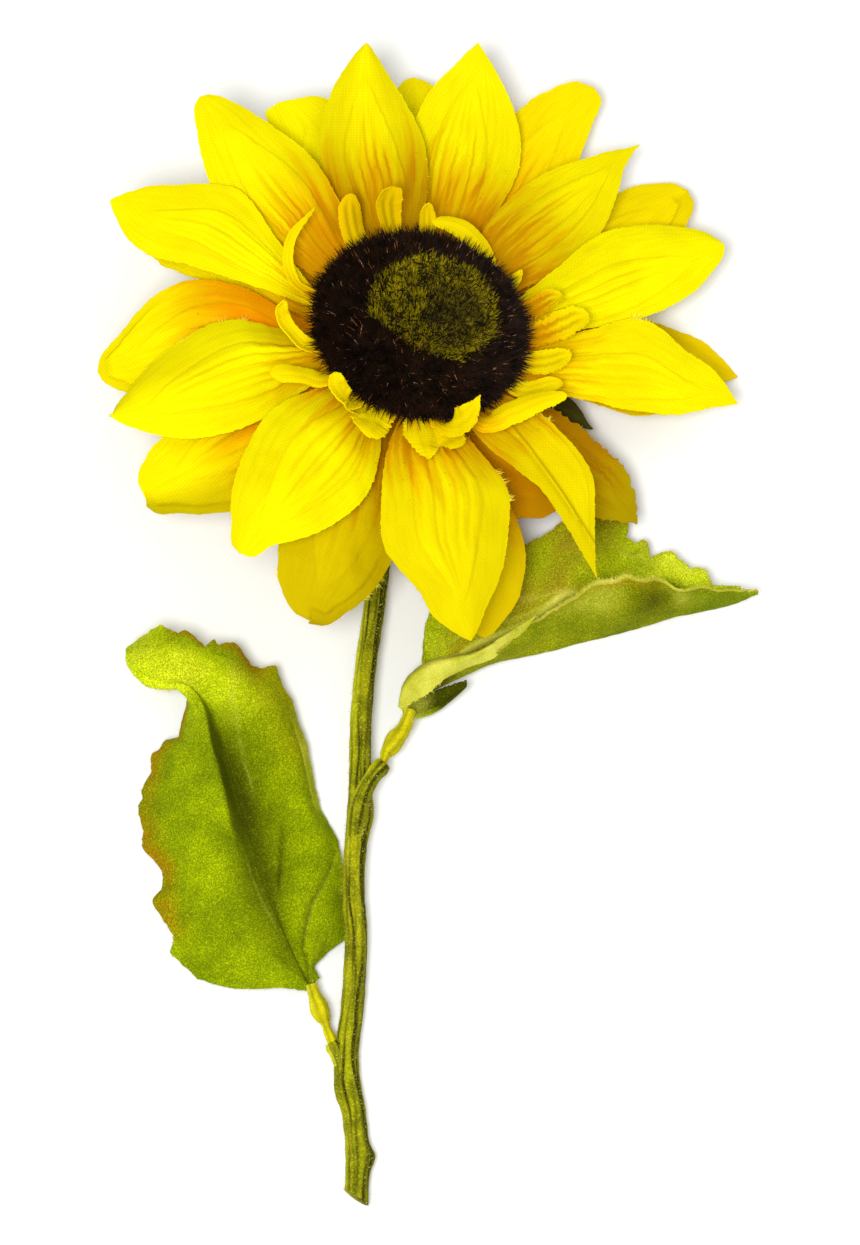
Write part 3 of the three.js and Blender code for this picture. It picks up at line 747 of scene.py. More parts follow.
BACK_PETALS = (
    dict(course=(181, 183.4, 73.7, -16, 2, -9), left=(6, 8, 9, 8, 6), right=(10, 18, 20.5, 14.8, 8.4),
         point=0.5, hem=(2.6, 0, 0.75), dye=0.7, gold=(1, 0)),
    dict(course=(212, 212.3, 73, -18, 2, -9), left=(8, 12, 12, 8, 5), right=(10, 14, 15, 12.1, 9.3),
         point=0.35, lean=-1.5, hem=(1.8, 1, 0.45), dye=0.66, gold=(0.95, 0.1), dusk=(0.34, 0),
         lift=(-5, 0)),
    dict(course=(247, 250.2, 72.1, -18, 2, -9), left=(9, 13, 14, 11, 7.4), right=(10, 14, 14, 11.7, 9.3),
         point=0.4, hem=(3, 1, 0.62), dye=0.5, gold=(0.5, 0.3), shade=0.33, lift=(-3, -1),
         tufts=((1, 0.72), (1, 0.8), (-1, 0.86))),
    dict(course=(281, 283.5, 70.4, -20, 3, -9), left=(9, 14, 16.5, 13, 9), right=(6, 8, 9, 6, 4), point=0.7,
         dye=0.7, gold=(0.7, 0.45), shade=0.24),
    dict(course=(309, 309.7, 49.3, -15, -0.5, 9), left=(5, 8, 12, 14, 12), right=(5, 8, 9, 8, 6),
         point=0.22, lean=4, dye=1.6, gold=(1, 0.8), shade=0.42),
    dict(course=(333, 325.8, 65.4, -16, 2, -6), left=(6, 8, 8.6, 8, 5), right=(5, 9, 11, 9.6, 5), point=0.9,
         dye=0.9, gold=(0.9, 0.3), shade=0.52, rough=0.3),
    dict(course=(3, 2.2, 79.9, -10.8, 0, -9), left=(7, 12, 17, 12.5, 8.5), right=(7, 11, 14.5, 8, 2.5),
         point=0.8, dye=0.5, gold=(0.6, 0.5), shade=0.03),
    dict(course=(34, 34.9, 82.4, 2.5, -2, -9), left=(7, 11, 12.5, 10.5, 8), right=(7, 11, 12, 10, 7.5),
         point=0.4, dye=0.6, gold=(0.45, 0.3), hem=(4, -1, 0.8)),
    dict(course=(61, 58.5, 85, 6.5, -2, 6), left=(7, 11, 13, 10.8, 8.6), right=(7, 11, 9.6, 6.8, 4.6),
         point=0.3, lean=-1, dye=0.6, gold=(1, 0.25)),
    dict(course=(88, 88.2, 77.6, -2, 1, 0), left=(7, 11, 12, 8, 5), right=(7, 11, 13, 12, 9), point=0.5,
         dye=0.4, gold=(0.2, 0.1)),
    dict(course=(117, 114.2, 72, 1, 0, -9), left=(7, 10, 11, 8, 5), right=(7, 11, 13, 14, 13), point=0.2,
         lean=2, dye=0.3),
    dict(course=(148, 151, 70.5, -12, 1, -9), left=(6, 6.5, 6.5, 7, 6.5), right=(6, 9, 10, 8, 6), point=0.3,
         dye=0.5, gold=(0.3, 0.1)),
)


def together(sets):
    """One set of fibres from several."""
    return [np.concatenate(part) for part in zip(*sets)]


def spikes(name, fibres, width, material, place, slot):
    """Many straight fibres in one mesh, each a closed three-sided spike, from their roots, directions and
    lengths. Those that would touch the floor are left out."""
    roots, ways, lengths = fibres
    ways = ways / np.linalg.norm(ways, axis=1)[:, None]
    helper = np.where(np.abs(ways[:, 2:3]) < 0.8, [[0, 0, 1]], [[1, 0, 0]])
    side = np.cross(ways, helper)
    side /= np.linalg.norm(side, axis=1)[:, None]
    other = np.cross(ways, side)
    radius = np.broadcast_to(width, len(roots))[:, None] / 2
    corners = np.empty((len(roots), 4, 3))
    for k in range(3):
        turn = 2 * math.pi * k / 3
        corners[:, k] = roots + (side * math.cos(turn) + other * math.sin(turn)) * radius
    corners[:, 3] = roots + ways * lengths[:, None]
    upright = np.array(place)[2]
    corners = corners[(corners @ upright[:3] + upright[3] > FLOOR_GAP * MM).all(axis=1)]
    firsts = 4 * np.arange(len(corners))[:, None, None]
    faces = (firsts + np.array([(0, 2, 1), (0, 1, 3), (1, 2, 3), (2, 0, 3)])).reshape(-1, 3)
    mesh = bpy.data.meshes.new(name)
    mesh.from_pydata(corners.reshape(-1, 3).tolist(), [], faces.tolist())
    set_down(new_object(name, mesh), name, place, material, slot)


def petals(cloth):
    ends = []
    for row, level, shapes, plain in (
        ("front", FRONT_LEVEL, FRONT_PETALS, {}), ("back", BACK_LEVEL, BACK_PETALS, BACK_PLAIN),
    ):
        for index, shape in enumerate(shapes, 1):
            names = f"{row}_petal_{index}", f"petal_{row}_{index}"
            ends.append(petal(*names, level, cloth, **{**plain, **shape}))
    thread = fibre("polyester_thread", "E8D400", "FFF45A", 0.5, 0.2)
    spikes("petal_threads", together(ends), 0.11, thread, HEAD, "petal_fabric")


# ---------- ray florets round the disc ----------
# Each route leaves from under the disc's edge, as (azimuth, radius, height). widths are whole, at the inner
# stations.
FLORETS = (
    dict(route=((157, 28, 0.6), (156, 32, 1.6), (147, 37, 5), (130, 39.2, 8)),
         widths=(2.4, 2.6, 2.6, 2, 1.2)),
    dict(route=((117, 28, 0.6), (117, 32, 2), (116, 36, 5), (115, 38.5, 8)), widths=(4.6, 5, 5.8, 5.6, 4.4),
         point=0.5, cup=-0.35, shade=0.16, gold=0.75, stripes=1),
    dict(route=((100, 28, 0.6), (101, 31, 3), (102, 35, 7), (102, 37, 10)), widths=(4.6, 5, 5.4, 6.2, 6),
         point=0.15, lean=-1, cup=0.3, shade=0.18, gold=0.75, stripes=1),
    dict(route=((84, 27.5, 0.6), (84.5, 30, 3), (85.5, 33, 6), (85.5, 34, 8)),
         widths=(3.4, 3.6, 3.8, 3.8, 3.2), point=0.45, cup=0.35, shade=0.08, gold=0.6, stripes=0.6),
    dict(route=((50, 27, 0.4), (55, 29.4, 2.4), (65, 31, 4.6), (75, 31.4, 5.4), (83, 31, 5)),
         widths=(3, 4.2, 5, 5, 4.2), point=0.4, cup=-0.3, dye=0.35),
    dict(route=((36, 28, 1), (36, 29.5, 3), (37, 31, 5)), widths=(2.6, 2.8, 3, 2.6, 1.9), point=0.6,
         cup=0.4),
    dict(route=((20, 28, 0.6), (20, 31, 2), (20, 34, 4), (19, 36.4, 5)), widths=(4.6, 5, 5.4, 5, 4.2),
         point=0.3, cup=0.3, shade=0.14, rough=0.2, dye=0.95, stripes=0.8),
    dict(route=((6, 28, 0.6), (7, 32, 2), (9, 37, 4), (10, 41, 5)), widths=(5, 6, 7, 7, 6), point=0.35,
         cup=0.2, rough=0.2, dye=0.75, stripes=0.8),
    dict(route=((350, 28, 0.6), (351, 31, 1.6), (353, 34, 3), (354, 36, 4)), widths=(5, 6, 6.4, 6, 4.8),
         point=0.45, cup=0.15, rough=0.14, dye=0.6, stripes=0.6),
    dict(route=((303, 27, 1.6), (314, 29.4, 4), (326, 33, 6), (333, 37.4, 6.6)),
         widths=(4.4, 5.6, 5.6, 5, 3.8), point=0.5, cup=-0.3, rough=0.1),
    dict(route=((282, 25.6, 3), (287, 27, 5.6), (293, 26.6, 9.6), (297, 26, 12.6)),
         widths=(4, 7, 7.6, 4.8, 2.2), point=1.1, lean=0.6, cup=0.15, rough=0.12),
    dict(route=((271, 27, 0.2), (271, 29, 0.4), (271, 31, 1), (271.5, 34, 1.4)),
         widths=(8, 9.4, 9, 5.4, 3.2), point=0.9, cup=-0.2, rough=0.2),
    dict(route=((243, 26.6, 0.4), (243, 28, 1), (242, 30, 2), (241, 31.6, 2.6)), widths=(6, 8, 8.8, 8.4, 7),
         point=0.25, cup=-0.15, rough=0.35),
    dict(route=((229, 26, 1.2), (226, 27.4, 3.4), (221, 28, 6), (217, 27.4, 8.6)),
         widths=(4, 4.6, 5, 4.8, 4), point=0.3, cup=0.4, rough=0.12),
    dict(route=((209, 27, 0.6), (206, 30, 1.6), (203, 34, 2.6), (201, 39, 3)),
         widths=(3.4, 4, 4.6, 4.8, 4.2), point=0.45, cup=-0.25),
    dict(route=((189, 27, 0.6), (184, 30, 1.6), (178, 33, 4), (175, 33.4, 8.4)),
         widths=(3.2, 3.6, 3.8, 3.4, 2.8), point=0.4, cup=0.45),
)
UNDER_FLORETS = (
    dict(route=((333, 27.4, 0.4), (336, 30, 1), (340, 33, 2), (342, 35.4, 2.4)),
         widths=(3.6, 4.2, 4.6, 4.2, 3.4), point=0.4, cup=0.1, shade=0.1),
    dict(route=((233, 26.4, 0.4), (232, 27.4, 1.2), (230, 28.6, 3), (229, 29, 4.6)),
         widths=(3, 3.4, 3.4, 3, 2.4), point=0.4, cup=0.3, shade=0.3),
    dict(route=((283, 26.6, 0.2), (284, 28, 0.4), (285, 29.6, 1), (286, 31, 1.2)), widths=(5, 6, 6.6, 6, 5),
         point=0.3, cup=-0.1, shade=0.1, rough=0.25),
)


def floret(name, cloth, nodes, route, widths, seed, point=0.6, lean=0.0, cup=0.2, shade=0.03, rough=0.05,
           dye=0.5, stripes=0.25, gold=0.35):
    """Makes one floret and returns its loose threads."""
    foot = route[0][0]
    stops = [polar(CORE_RADIUS + SEAT, foot, FLORET_LEVEL), polar(22, foot, FLORET_LEVEL - 0.2)]
    stops += [polar(radius, azimuth, height) for azimuth, radius, height in route]
    sides = [width / 2 for width in widths]
    piece, along, across, half = blank(run_length(stops), sides, sides, point, lean, rough, seed, 16, 6)
    cloth_map(piece, 30 * seed)
    shift_points(piece, cup * half * across ** 2 + 0.25 * np.sin(17 * along + seed) * across)
    # Two stripes along the floret, partly its olive dye and partly painted shade along its folds, go into the
    # groove and shade marks.
    lines = stripes * hump(np.abs(across - 0.08), 0.34, 0.17) * window(along, 0.3, 0.45, 0.82, 0.98)
    mark(piece, groove=lines, dye=dye, gold=gold, shade=shade + 0.34 * lines)
    bend(piece, stops)
    ends = loose_ends(piece, along, across, (), seed)
    finish_cloth(piece, CLOTH, name, HEAD, cloth, "petal_fabric", *nodes)
    return [part[:24] for part in ends]


def florets(cloth):
    ends = []
    for index, shape in enumerate(FLORETS, 1):
        ends.append(floret(f"ray_floret_{index}", cloth, (f"floret_{index}",), seed=index, **shape))
    for index, shape in enumerate(UNDER_FLORETS, 1):
        ends.append(floret(f"under_floret_{index}", cloth, (), seed=30 + index, **shape))
    thread = fibre("floret_thread", "E8D400", "FFF45A", 0.5, 0.2)
    spikes("floret_threads", together(ends), 0.1, thread, HEAD, "petal_fabric")


# ---------- pile disc ----------
def turned(profile, steps):
    """Solid turned round the upright axis from (radius, height) pairs that start and end on it."""
    outline = bpy.data.meshes.new("outline")
    outline.from_pydata([(r, 0, h) for r, h in profile], [(k, k + 1) for k in range(len(profile) - 1)], [])
    piece = new_object("turned", outline)
    edit_all(piece)
    bpy.ops.mesh.spin(steps=steps, angle=2 * math.pi, center=(0, 0, 0), axis=(0, 0, 1))
    bpy.ops.mesh.select_all(action="SELECT")
    bpy.ops.mesh.remove_doubles(threshold=0.001)
    bpy.ops.mesh.normals_make_consistent(inside=False)
    bpy.ops.object.mode_set(mode="OBJECT")
    return piece


def dome(turn, shrink):
    """Radius and height of the cushion at that angle above its rim, drawn in by the pile's depth."""
    radius = (DISC_RADIUS - shrink) * np.cos(turn) ** DOME_SIDE
    height = DISC_LEVEL + 1 + (DISC_TOP - DISC_LEVEL - 1 - shrink) * np.sin(turn) ** DOME_TOP
    return radius, height


def on_cushion(turn, around, drop, rise):
    """Roots at those angles over and round the cushion, and the ways straight out of it. Below the rim, roots
    lie lower by drop for each radian, and ways point up by rise more."""
    radius, height = dome(np.maximum(turn, 0), PILE_DEPTH)
    flat = np.stack([np.cos(around), np.sin(around)], 1)
    roots = np.column_stack([radius[:, None] * flat, height + drop * np.minimum(turn, 0)])
    ways = np.column_stack([np.cos(turn)[:, None] * flat, np.sin(turn) + rise])
    return roots, ways


def pile_tufts(random, seat):
    """Hairs in tufts that lean the same way, so that the outline is ragged."""
    tufts, hairs_each = 2300, 19
    over_top = np.arccos(random.random(tufts) ** (0.5 / DOME_SIDE))
    tuft_turn = np.where(random.random(tufts) < 0.7, over_top, random.uniform(-0.12, 0.6, tufts))
    tuft_around = random.random(tufts) * 2 * math.pi
    tuft_lean = random.normal(0, 0.4, (tufts, 3))
    tuft_length = 2.1 + 1.1 * random.random(tufts) ** 2
    tuft = np.repeat(np.arange(tufts), hairs_each)
    count = len(tuft)
    turn = np.clip(tuft_turn[tuft] + random.normal(0, 0.035, count), -0.1, math.pi / 2)
    around = tuft_around[tuft] + random.normal(0, 0.04, count) / np.maximum(np.cos(turn), 0.15)
    roots, out = on_cushion(turn, around, 12, 0.12)
    ways = out + tuft_lean[tuft] + random.normal(0, 0.28, (count, 3))
    lengths = tuft_length[tuft] * random.uniform(0.7, 1.15, count)

    # The middle is dyed olive through a round mask that is not quite centred, and cut off straight at its
    # lower left. The olive pile is shorter and thicker.
    right, up = roots[:, 0] - MASK_CENTRE[0], (roots[:, 1] - MASK_CENTRE[1]) / 0.92
    spot = np.hypot(right, up)
    spot = np.maximum(spot, MASK_RADIUS + 1.2 * (-0.75 * right - 0.66 * up - 13.4))
    wobble = 0.9 * np.sin(3 * around + 1) + 0.7 * np.sin(7 * around)
    spread = random.normal(0, 0.6, tufts)[tuft] + random.normal(0, 0.4, count)
    olive = spot + 0.6 * wobble + spread < MASK_RADIUS
    upright = out * 1.4 + 0.7 * tuft_lean[tuft] + random.normal(0, 0.3, (count, 3))
    ways = np.where(olive[:, None], upright, ways)
    lengths = np.where(olive, lengths * 0.72, lengths)
    widths = np.where(olive, 0.3, 0.22)
    heart = np.hypot(roots[:, 0] - 6, roots[:, 1] + 2.5) < 7.5 + random.normal(0, 2.0, tufts)[tuft]
    rim = olive & (spot + random.normal(0, 1.2, count) > 12.4) & (random.random(count) < 0.3)
    dark = random.random(tufts)[tuft] < 0.22
    dark = dark | (random.random(count) < 0.18)
    # Painted glints: scattered hairs are coloured copper, and a few of them pale pink, for the light that the
    # pile catches.
    glint = (random.random(tufts)[tuft] < 0.2) & (random.random(count) < 0.07) & ~olive
    white = glint & (random.random(count) < 0.12)
    for name, chosen, yarn in (
        ("pile_brown", ~olive & ~glint, ("nylon_pile_brown", "110A06", "2C1B0E", 0.6, 0.08)),
        ("pile_glint", glint & ~white, ("nylon_pile_glint", "A8563A", "E09C5C", 0.4, 0.3)),
        ("pile_sparks", white, ("nylon_pile_sparks", "E8A88C", "F6DCC8", 0.35, 0.4)),
        ("pile_olive", olive & ~dark & ~heart & ~rim, ("viscose_pile_olive", "847600", "AE9E00", 0.7, 0.1)),
        ("pile_tips", rim, ("viscose_pile_tips", "8C8206", "B8A010", 0.6, 0.1)),
        ("pile_heart", olive & ~dark & heart & ~rim, ("viscose_pile_heart", "605410", "827414", 0.7, 0.1)),
        ("pile_gaps", olive & dark & ~rim, ("viscose_pile_gaps", "1E1808", "332A0A", 0.8, 0.1)),
    ):
        fibres = (roots[chosen], ways[chosen], lengths[chosen])
        spikes(name, fibres, widths[chosen], fibre(*yarn), seat, "pile")


def guard_hairs(random, seat):
    """Stiff hairs stand clear of the rest round the rim, and a few over the top."""
    count = 2800
    turn = np.where(random.random(count) < 0.72, random.uniform(-0.15, 0.55, count),
                    random.uniform(0.4, 1.3, count))
    around = random.random(count) * 2 * math.pi
    roots, out = on_cushion(turn, around, 14, 0.1)
    keep = np.hypot(roots[:, 0] - 2.4, roots[:, 1] - 1.2) > 14.5 - 3 * (random.random(count) < 0.3)
    ways = out + random.normal(0, 0.42, (count, 3))
    lengths = random.uniform(2.8, 5.4, count)
    spikes("pile_guard_hairs", (roots[keep], ways[keep], lengths[keep]), 0.5,
           fibre("nylon_guard_hair", "0E0805", "28160A", 0.6, 0.08), seat, "pile")


def loose_threads(random, seat):
    """Dark threads lie tangled over the olive middle."""
    count = 420
    spread = 14 * np.sqrt(random.random(count))
    around = random.random(count) * 2 * math.pi
    places = np.stack([2.4 + spread * np.cos(around), 1 + 0.9 * spread * np.sin(around)], 1)
    turn = np.arccos(np.clip(np.hypot(*places.T) / (DISC_RADIUS - PILE_DEPTH), 0, 1) ** (1 / DOME_SIDE))
    roots = np.column_stack([places, dome(turn, PILE_DEPTH)[1] + random.uniform(1.0, 1.9, count)])
    ways = np.column_stack([random.normal(0, 1, (count, 2)), random.normal(0.2, 0.15, count)])
    spikes("pile_loose_threads", (roots, ways, random.uniform(1.6, 3.6, count)), 0.34,
           fibre("nylon_loose_thread", "120C04", "241A08", 0.7, 0.05), seat, "pile")


def pile_disc():
    seat = HEAD @ Matrix.Translation((0, DISC_SHIFT, 0))
    outline = [(0, DISC_LEVEL), (DISC_RADIUS - 3.5, DISC_LEVEL)]
    turns = np.linspace(0, math.pi / 2, 20)
    outline += [(float(r), float(h)) for r, h in zip(*dome(turns, PILE_DEPTH))]
    outline[-1] = (0, outline[-1][1])
    body = turned(outline, 72)
    smooth(body)
    backing = fibre("pile_ground_cloth", "1A0F08", "2A1A0C", 0.9, 0.1)
    set_down(body, "pile_ground", seat, backing, "pile", "disc")
    random = np.random.default_rng(7)
    pile_tufts(random, seat)
    guard_hairs(random, seat)
    loose_threads(random, seat)


# ---------- calyx ----------
def calyx(cloth):
    drum_top = DISC_LEVEL - SEAT
    outline = [
        (0, -CUP_DEPTH), (3.2, -CUP_DEPTH), (3.8, -13.6), (5, -12.4), (9, -12.2), (13, -11.6), (15, -11),
        (CORE_RADIUS, SEPAL_LEVEL - 0.8), (CORE_RADIUS, -4), (CORE_RADIUS, drum_top), (0, drum_top),
    ]
    cup = turned(outline, 64)
    modify(cup, "SUBSURF", levels=1, render_levels=1)
    crumple(cup, "slack", 0.5)
    smooth(cup)
    set_down(cup, "calyx_cup", HEAD, cloth, "calyx_fabric", "cup")
    for index in range(SEPAL_COUNT):
        azimuth = FIRST_SEPAL + index * 360 / SEPAL_COUNT
        rise = -14.5 + 3.5 * math.sin(math.radians(azimuth))
        spine = petal_spine(SEPAL_LEVEL, azimuth, azimuth, SEPAL_REACH, rise, -0.5)
        length, sides = spine_length(spine), (6.4, 6.8, 5.6, 3.2, 1.8)
        piece, along, across, half = blank(length, sides, sides, 1.1, -3, 0.05, index + 50, 12, 8)
        shift_points(piece, 0.4 * hump(across, 0, 0.12) * (1 - along) - 0.12 * half * across ** 2)
        bend_blade(piece, spine)
        name, node = f"calyx_sepal_{index + 1}", f"sepal_{index + 1}"
        finish_cloth(piece, CLOTH, name, HEAD, cloth, "calyx_fabric", node)


# ---------- stem, forks and sleeves ----------
# Routes run up the stem from its cut end, and out from the stem to the leaves, as (x, y, z).
STEM_ROUTE = (
    (-16.8, -141, 2.8), (-16.6, -129, 2.76), (-17.2, -120.9, 2.7), (-19, -108, 2.68), (-17.8, -92.9, 3.4),
    (-17.1, -81.1, 4.4), (-17.7, -64.5, 5), (-16.5, -45.3, 5.5), (-15.8, -21.1, 6), (-12.9, 3.5, 6),
    (-10.4, 22, 6.1), (-8.4, 38, 6.2), (-7.4, 48.5, 6.4), (-6.8, 54, 7.8), (-6.1, 56.4, 10.2),
    (-5.53, 57.4, 13),
)
UPPER_FORK_ROUTE = (
    (-17.4, -57, 5.2), (-17.3, -52.5, 6.4), (-15.8, -45, 7), (-13.2, -39.8, 6.6), (-11, -36.8, 5.8),
)
UPPER_PEG_ROUTE = ((-12, -38.6, 5.6), (-10.6, -35, 5.6), (-10, -33, 5.6))
UPPER_SLEEVE_ROUTE = ((-10.2, -34, 5.6), (-8.2, -31.2, 5.8), (-6.2, -28, 6), (-4.6, -23.6, 6.1))
LOWER_FORK_ROUTE = (
    (-17.8, -118, 2.7), (-18.2, -114.6, 2.7), (-19.8, -108.8, 2.9), (-21.3, -105, 3.2), (-22.4, -102.8, 3.4),
)
LOWER_PEG_ROUTE = ((-21.8, -104, 3.4), (-23.6, -99.8, 3.7), (-25, -96, 3.9))
LOWER_SLEEVE_ROUTE = ((-24.2, -98, 3.8), (-25.2, -95.4, 3.9), (-26.4, -92.4, 4.1), (-27.3, -89.4, 4.3))

# Grooves run along the stem at these angles round it, from one side over its top: (degrees, width, depth).
STEM_GROOVES = (
    (38, 9, 0.5), (72, 7, 0.9), (97, 8, 0.55), (128, 10, 1), (157, 8, 0.8), (205, 12, 1), (262, 12, 1),
    (318, 11, 0.8),
)
STUB_GROOVES = ((45, 12, 0.6), (85, 10, 1), (125, 12, 0.9), (200, 14, 1), (290, 14, 1))
SLEEVE_GROOVES = ((60, 18, 0.5), (120, 16, 0.7), (230, 20, 0.6))

# Knobs are (share of the length, angle round the bar in radians, width as a share of the length, height) and,
# on the sleeves, how far round they spread.
STEM_KNOBS = ((0.056, math.pi, 0.012, 1.5), (0.458, math.pi, 0.024, 1.1), (0.138, 0, 0.022, 0.9))
SLEEVE_KNOBS = ((0.35, 0.6, 0.16, 0.35, 0.9), (0.7, 2.4, 0.14, 0.3, 0.9))


def angle_from(around, other):
    """Smaller angle from one direction to others, with its sign."""
    return np.angle(np.exp(1j * (around - other)))


def bar(points, radius, sides, pitch, grooves, depth):
    """Straight bar, extruded ring by ring and then grooved unevenly. radius(t) is its radius along it."""
    length = run_length(points)
    rings = max(4, round(length / pitch))
    deselect()
    bpy.ops.mesh.primitive_circle_add(vertices=sides, radius=1, fill_type="NGON",
                                      rotation=(0, -math.pi / 2, 0))
    piece = bpy.context.object
    bpy.ops.object.transform_apply(location=False, rotation=True, scale=False)
    bpy.ops.object.mode_set(mode="EDIT")
    bpy.ops.mesh.select_mode(type="FACE")
    bpy.ops.mesh.select_all(action="SELECT")
    for ring in range(rings):
        bpy.ops.mesh.extrude_region_move(TRANSFORM_OT_translate={"value": (length / rings, 0, 0)})
    bpy.ops.mesh.select_mode(type="VERT")
    bpy.ops.mesh.select_all(action="SELECT")
    bpy.ops.mesh.normals_make_consistent(inside=False)
    bpy.ops.object.mode_set(mode="OBJECT")
    places = points_of(piece)
    along = np.clip(places[:, 0] / length, 0, 1)
    around = np.arctan2(places[:, 2], places[:, 1])
    run = along * length
    groove = np.zeros(len(places))
    for index, (angle, width, strength) in enumerate(grooves):
        drift = 0.16 * np.sin(run / 9 + 2 * index) + 0.07 * np.sin(run / 2.3 + 5 * index)
        fade = 0.62 + 0.38 * np.sin(run / (5 + index) + 3 * index)
        away = angle_from(around, math.radians(angle) + drift)
        groove = np.maximum(groove, strength * fade * hump(away, 0, math.radians(width)))
    ripple = 1 + 0.02 * np.sin(run / 1.7) * np.sin(3 * around + run / 4)
    size = radius(along) * (1 - depth * groove) * ripple
    places[:, 1] = size * np.cos(around)
    places[:, 2] = size * np.sin(around)
    move_points(piece, places)
    # Painted shade in the grooves and on one side, and painted light on a strip of the other side, stronger
    # further along.
    dark_side = 0.38 * step(1.9, 2.5, around)
    lit_strip = window(around, -0.6, -0.2, 0.85, 1.25) * (1 - groove)
    lit_strip *= 0.14 + 0.66 * step(0.4, 0.7, along) + 0.15 * np.sin(run / 6)
    mark(piece, groove=1.25 * groove + dark_side, pale=lit_strip)
    return piece, along, around


def lay_bar(piece, points, lumps):
    """Bends a bar along its route, makes it lumpy and keeps it off the floor."""
    bend(piece, points)
    crumple(piece, "lumps", lumps)
    keep_above(piece, 0.05)


def swell(piece, along, around, place, side, width, height, spread=0.8):
    """Raises a knob on a bar at that share of its length and that angle round it."""
    lift = height * hump(along, place, width) * hump(angle_from(around, side), 0, spread)
    shift_points(piece, lift * np.cos(around), 1)
    shift_points(piece, lift * np.sin(around), 2)


def down(piece, count, seed):
    """Roots, directions and lengths of the loose fibres on a flocked bar."""
    random = np.random.default_rng(seed)
    places = points_of(piece)
    normals = np.array([vertex.normal for vertex in piece.data.vertices])
    # The points' own order can differ from run to run, so they are drawn in the order of their places.
    chosen = np.lexsort(places.T)[random.choice(len(places), count)]
    ways = normals[chosen] + random.normal(0, 0.6, (count, 3))
    return places[chosen] + random.normal(0, 0.1, (count, 3)), ways, random.uniform(0.35, 0.85, count)


def main_stem(green):
    piece, along, around = bar(
        STEM_ROUTE, lambda t: STEM_RADIUS * (1.04 - 0.15 * t), 64, 0.8, STEM_GROOVES, 0.2)
    for knob in STEM_KNOBS:
        swell(piece, along, around, *knob)
    lay_bar(piece, STEM_ROUTE, 0.35)

    # The lower end is cut off on a slant.
    edit_all(piece)
    bpy.ops.mesh.bisect(plane_co=CUT_PLACE, plane_no=CUT_WAY, use_fill=True, clear_outer=True)
    bpy.ops.object.mode_set(mode="OBJECT")
    smooth(piece, 50)
    fuzz = down(piece, 2600, 11)
    set_down(piece, "main_stem", BENCH, green, "stem_plastic", "stem")
    return fuzz


def stub(place, root, route, green):
    """A stub grows out of the stem and ends in a small collar."""
    def radius(t):
        taper = (root + (1.8 - root) * t) * (0.74 + 0.26 * step(0, 0.3, t))
        return taper + 0.35 * hump(t, 0.93, 0.06)

    piece = bar(route, radius, 40, 0.5, STUB_GROOVES, 0.18)[0]
    lay_bar(piece, route, 0.4)
    smooth(piece, 50)
    fuzz = down(piece, 260, 12)
    set_down(piece, f"{place}_fork_stub", BENCH, green, "stem_plastic", f"fork_{place}")
    return fuzz


def peg(place, route, yellow):
    piece = bar(route, lambda t: 1.1 + 0.15 * np.sin(9 * t), 28, 0.4, SLEEVE_GROOVES, 0.08)[0]
    lay_bar(piece, route, 0.6)
    smooth(piece)
    set_down(piece, f"{place}_fork_peg", BENCH, yellow, "stem_plastic")


def sleeve(place, route, yellow):
    """The leaf's sleeve is pushed on to the peg."""
    def radius(t):
        return 1.25 + 0.8 * hump(t, 0.3, 0.35) - 0.4 * np.exp(-t / 0.06)

    piece, along, around = bar(route, radius, 32, 0.4, SLEEVE_GROOVES, 0.14)
    for knob in SLEEVE_KNOBS:
        swell(piece, along, around, *knob)
    lay_bar(piece, route, 0.9)
    smooth(piece)
    fuzz = down(piece, 160, 13)
    set_down(piece, f"{place}_leaf_sleeve", BENCH, yellow, "stem_plastic", f"sleeve_{place}")
    return fuzz


def stem_parts():
    green = flock_stem("flocked_stem_plastic", "AEAE0A", "7A7C02", "2A2A00")
    yellow = flock_stem("flocked_sleeve_plastic", "E4DA06", "C4BA06", "807602")
    fuzz = [main_stem(green)]
    for place, root, stub_route, peg_route, sleeve_route in (
        ("upper", 2.45, UPPER_FORK_ROUTE, UPPER_PEG_ROUTE, UPPER_SLEEVE_ROUTE),
        ("lower", 1.9, LOWER_FORK_ROUTE, LOWER_PEG_ROUTE, LOWER_SLEEVE_ROUTE),
    ):
        fuzz.append(stub(place, root, stub_route, green))
        peg(place, peg_route, yellow)
        fuzz.append(sleeve(place, sleeve_route, yellow))
    spikes("stem_fuzz", together(fuzz), 0.1, fibre("stem_fuzz_fibre", "A8A428", "E0D870", 0.8, 0.1), BENCH,
           "stem_plastic")


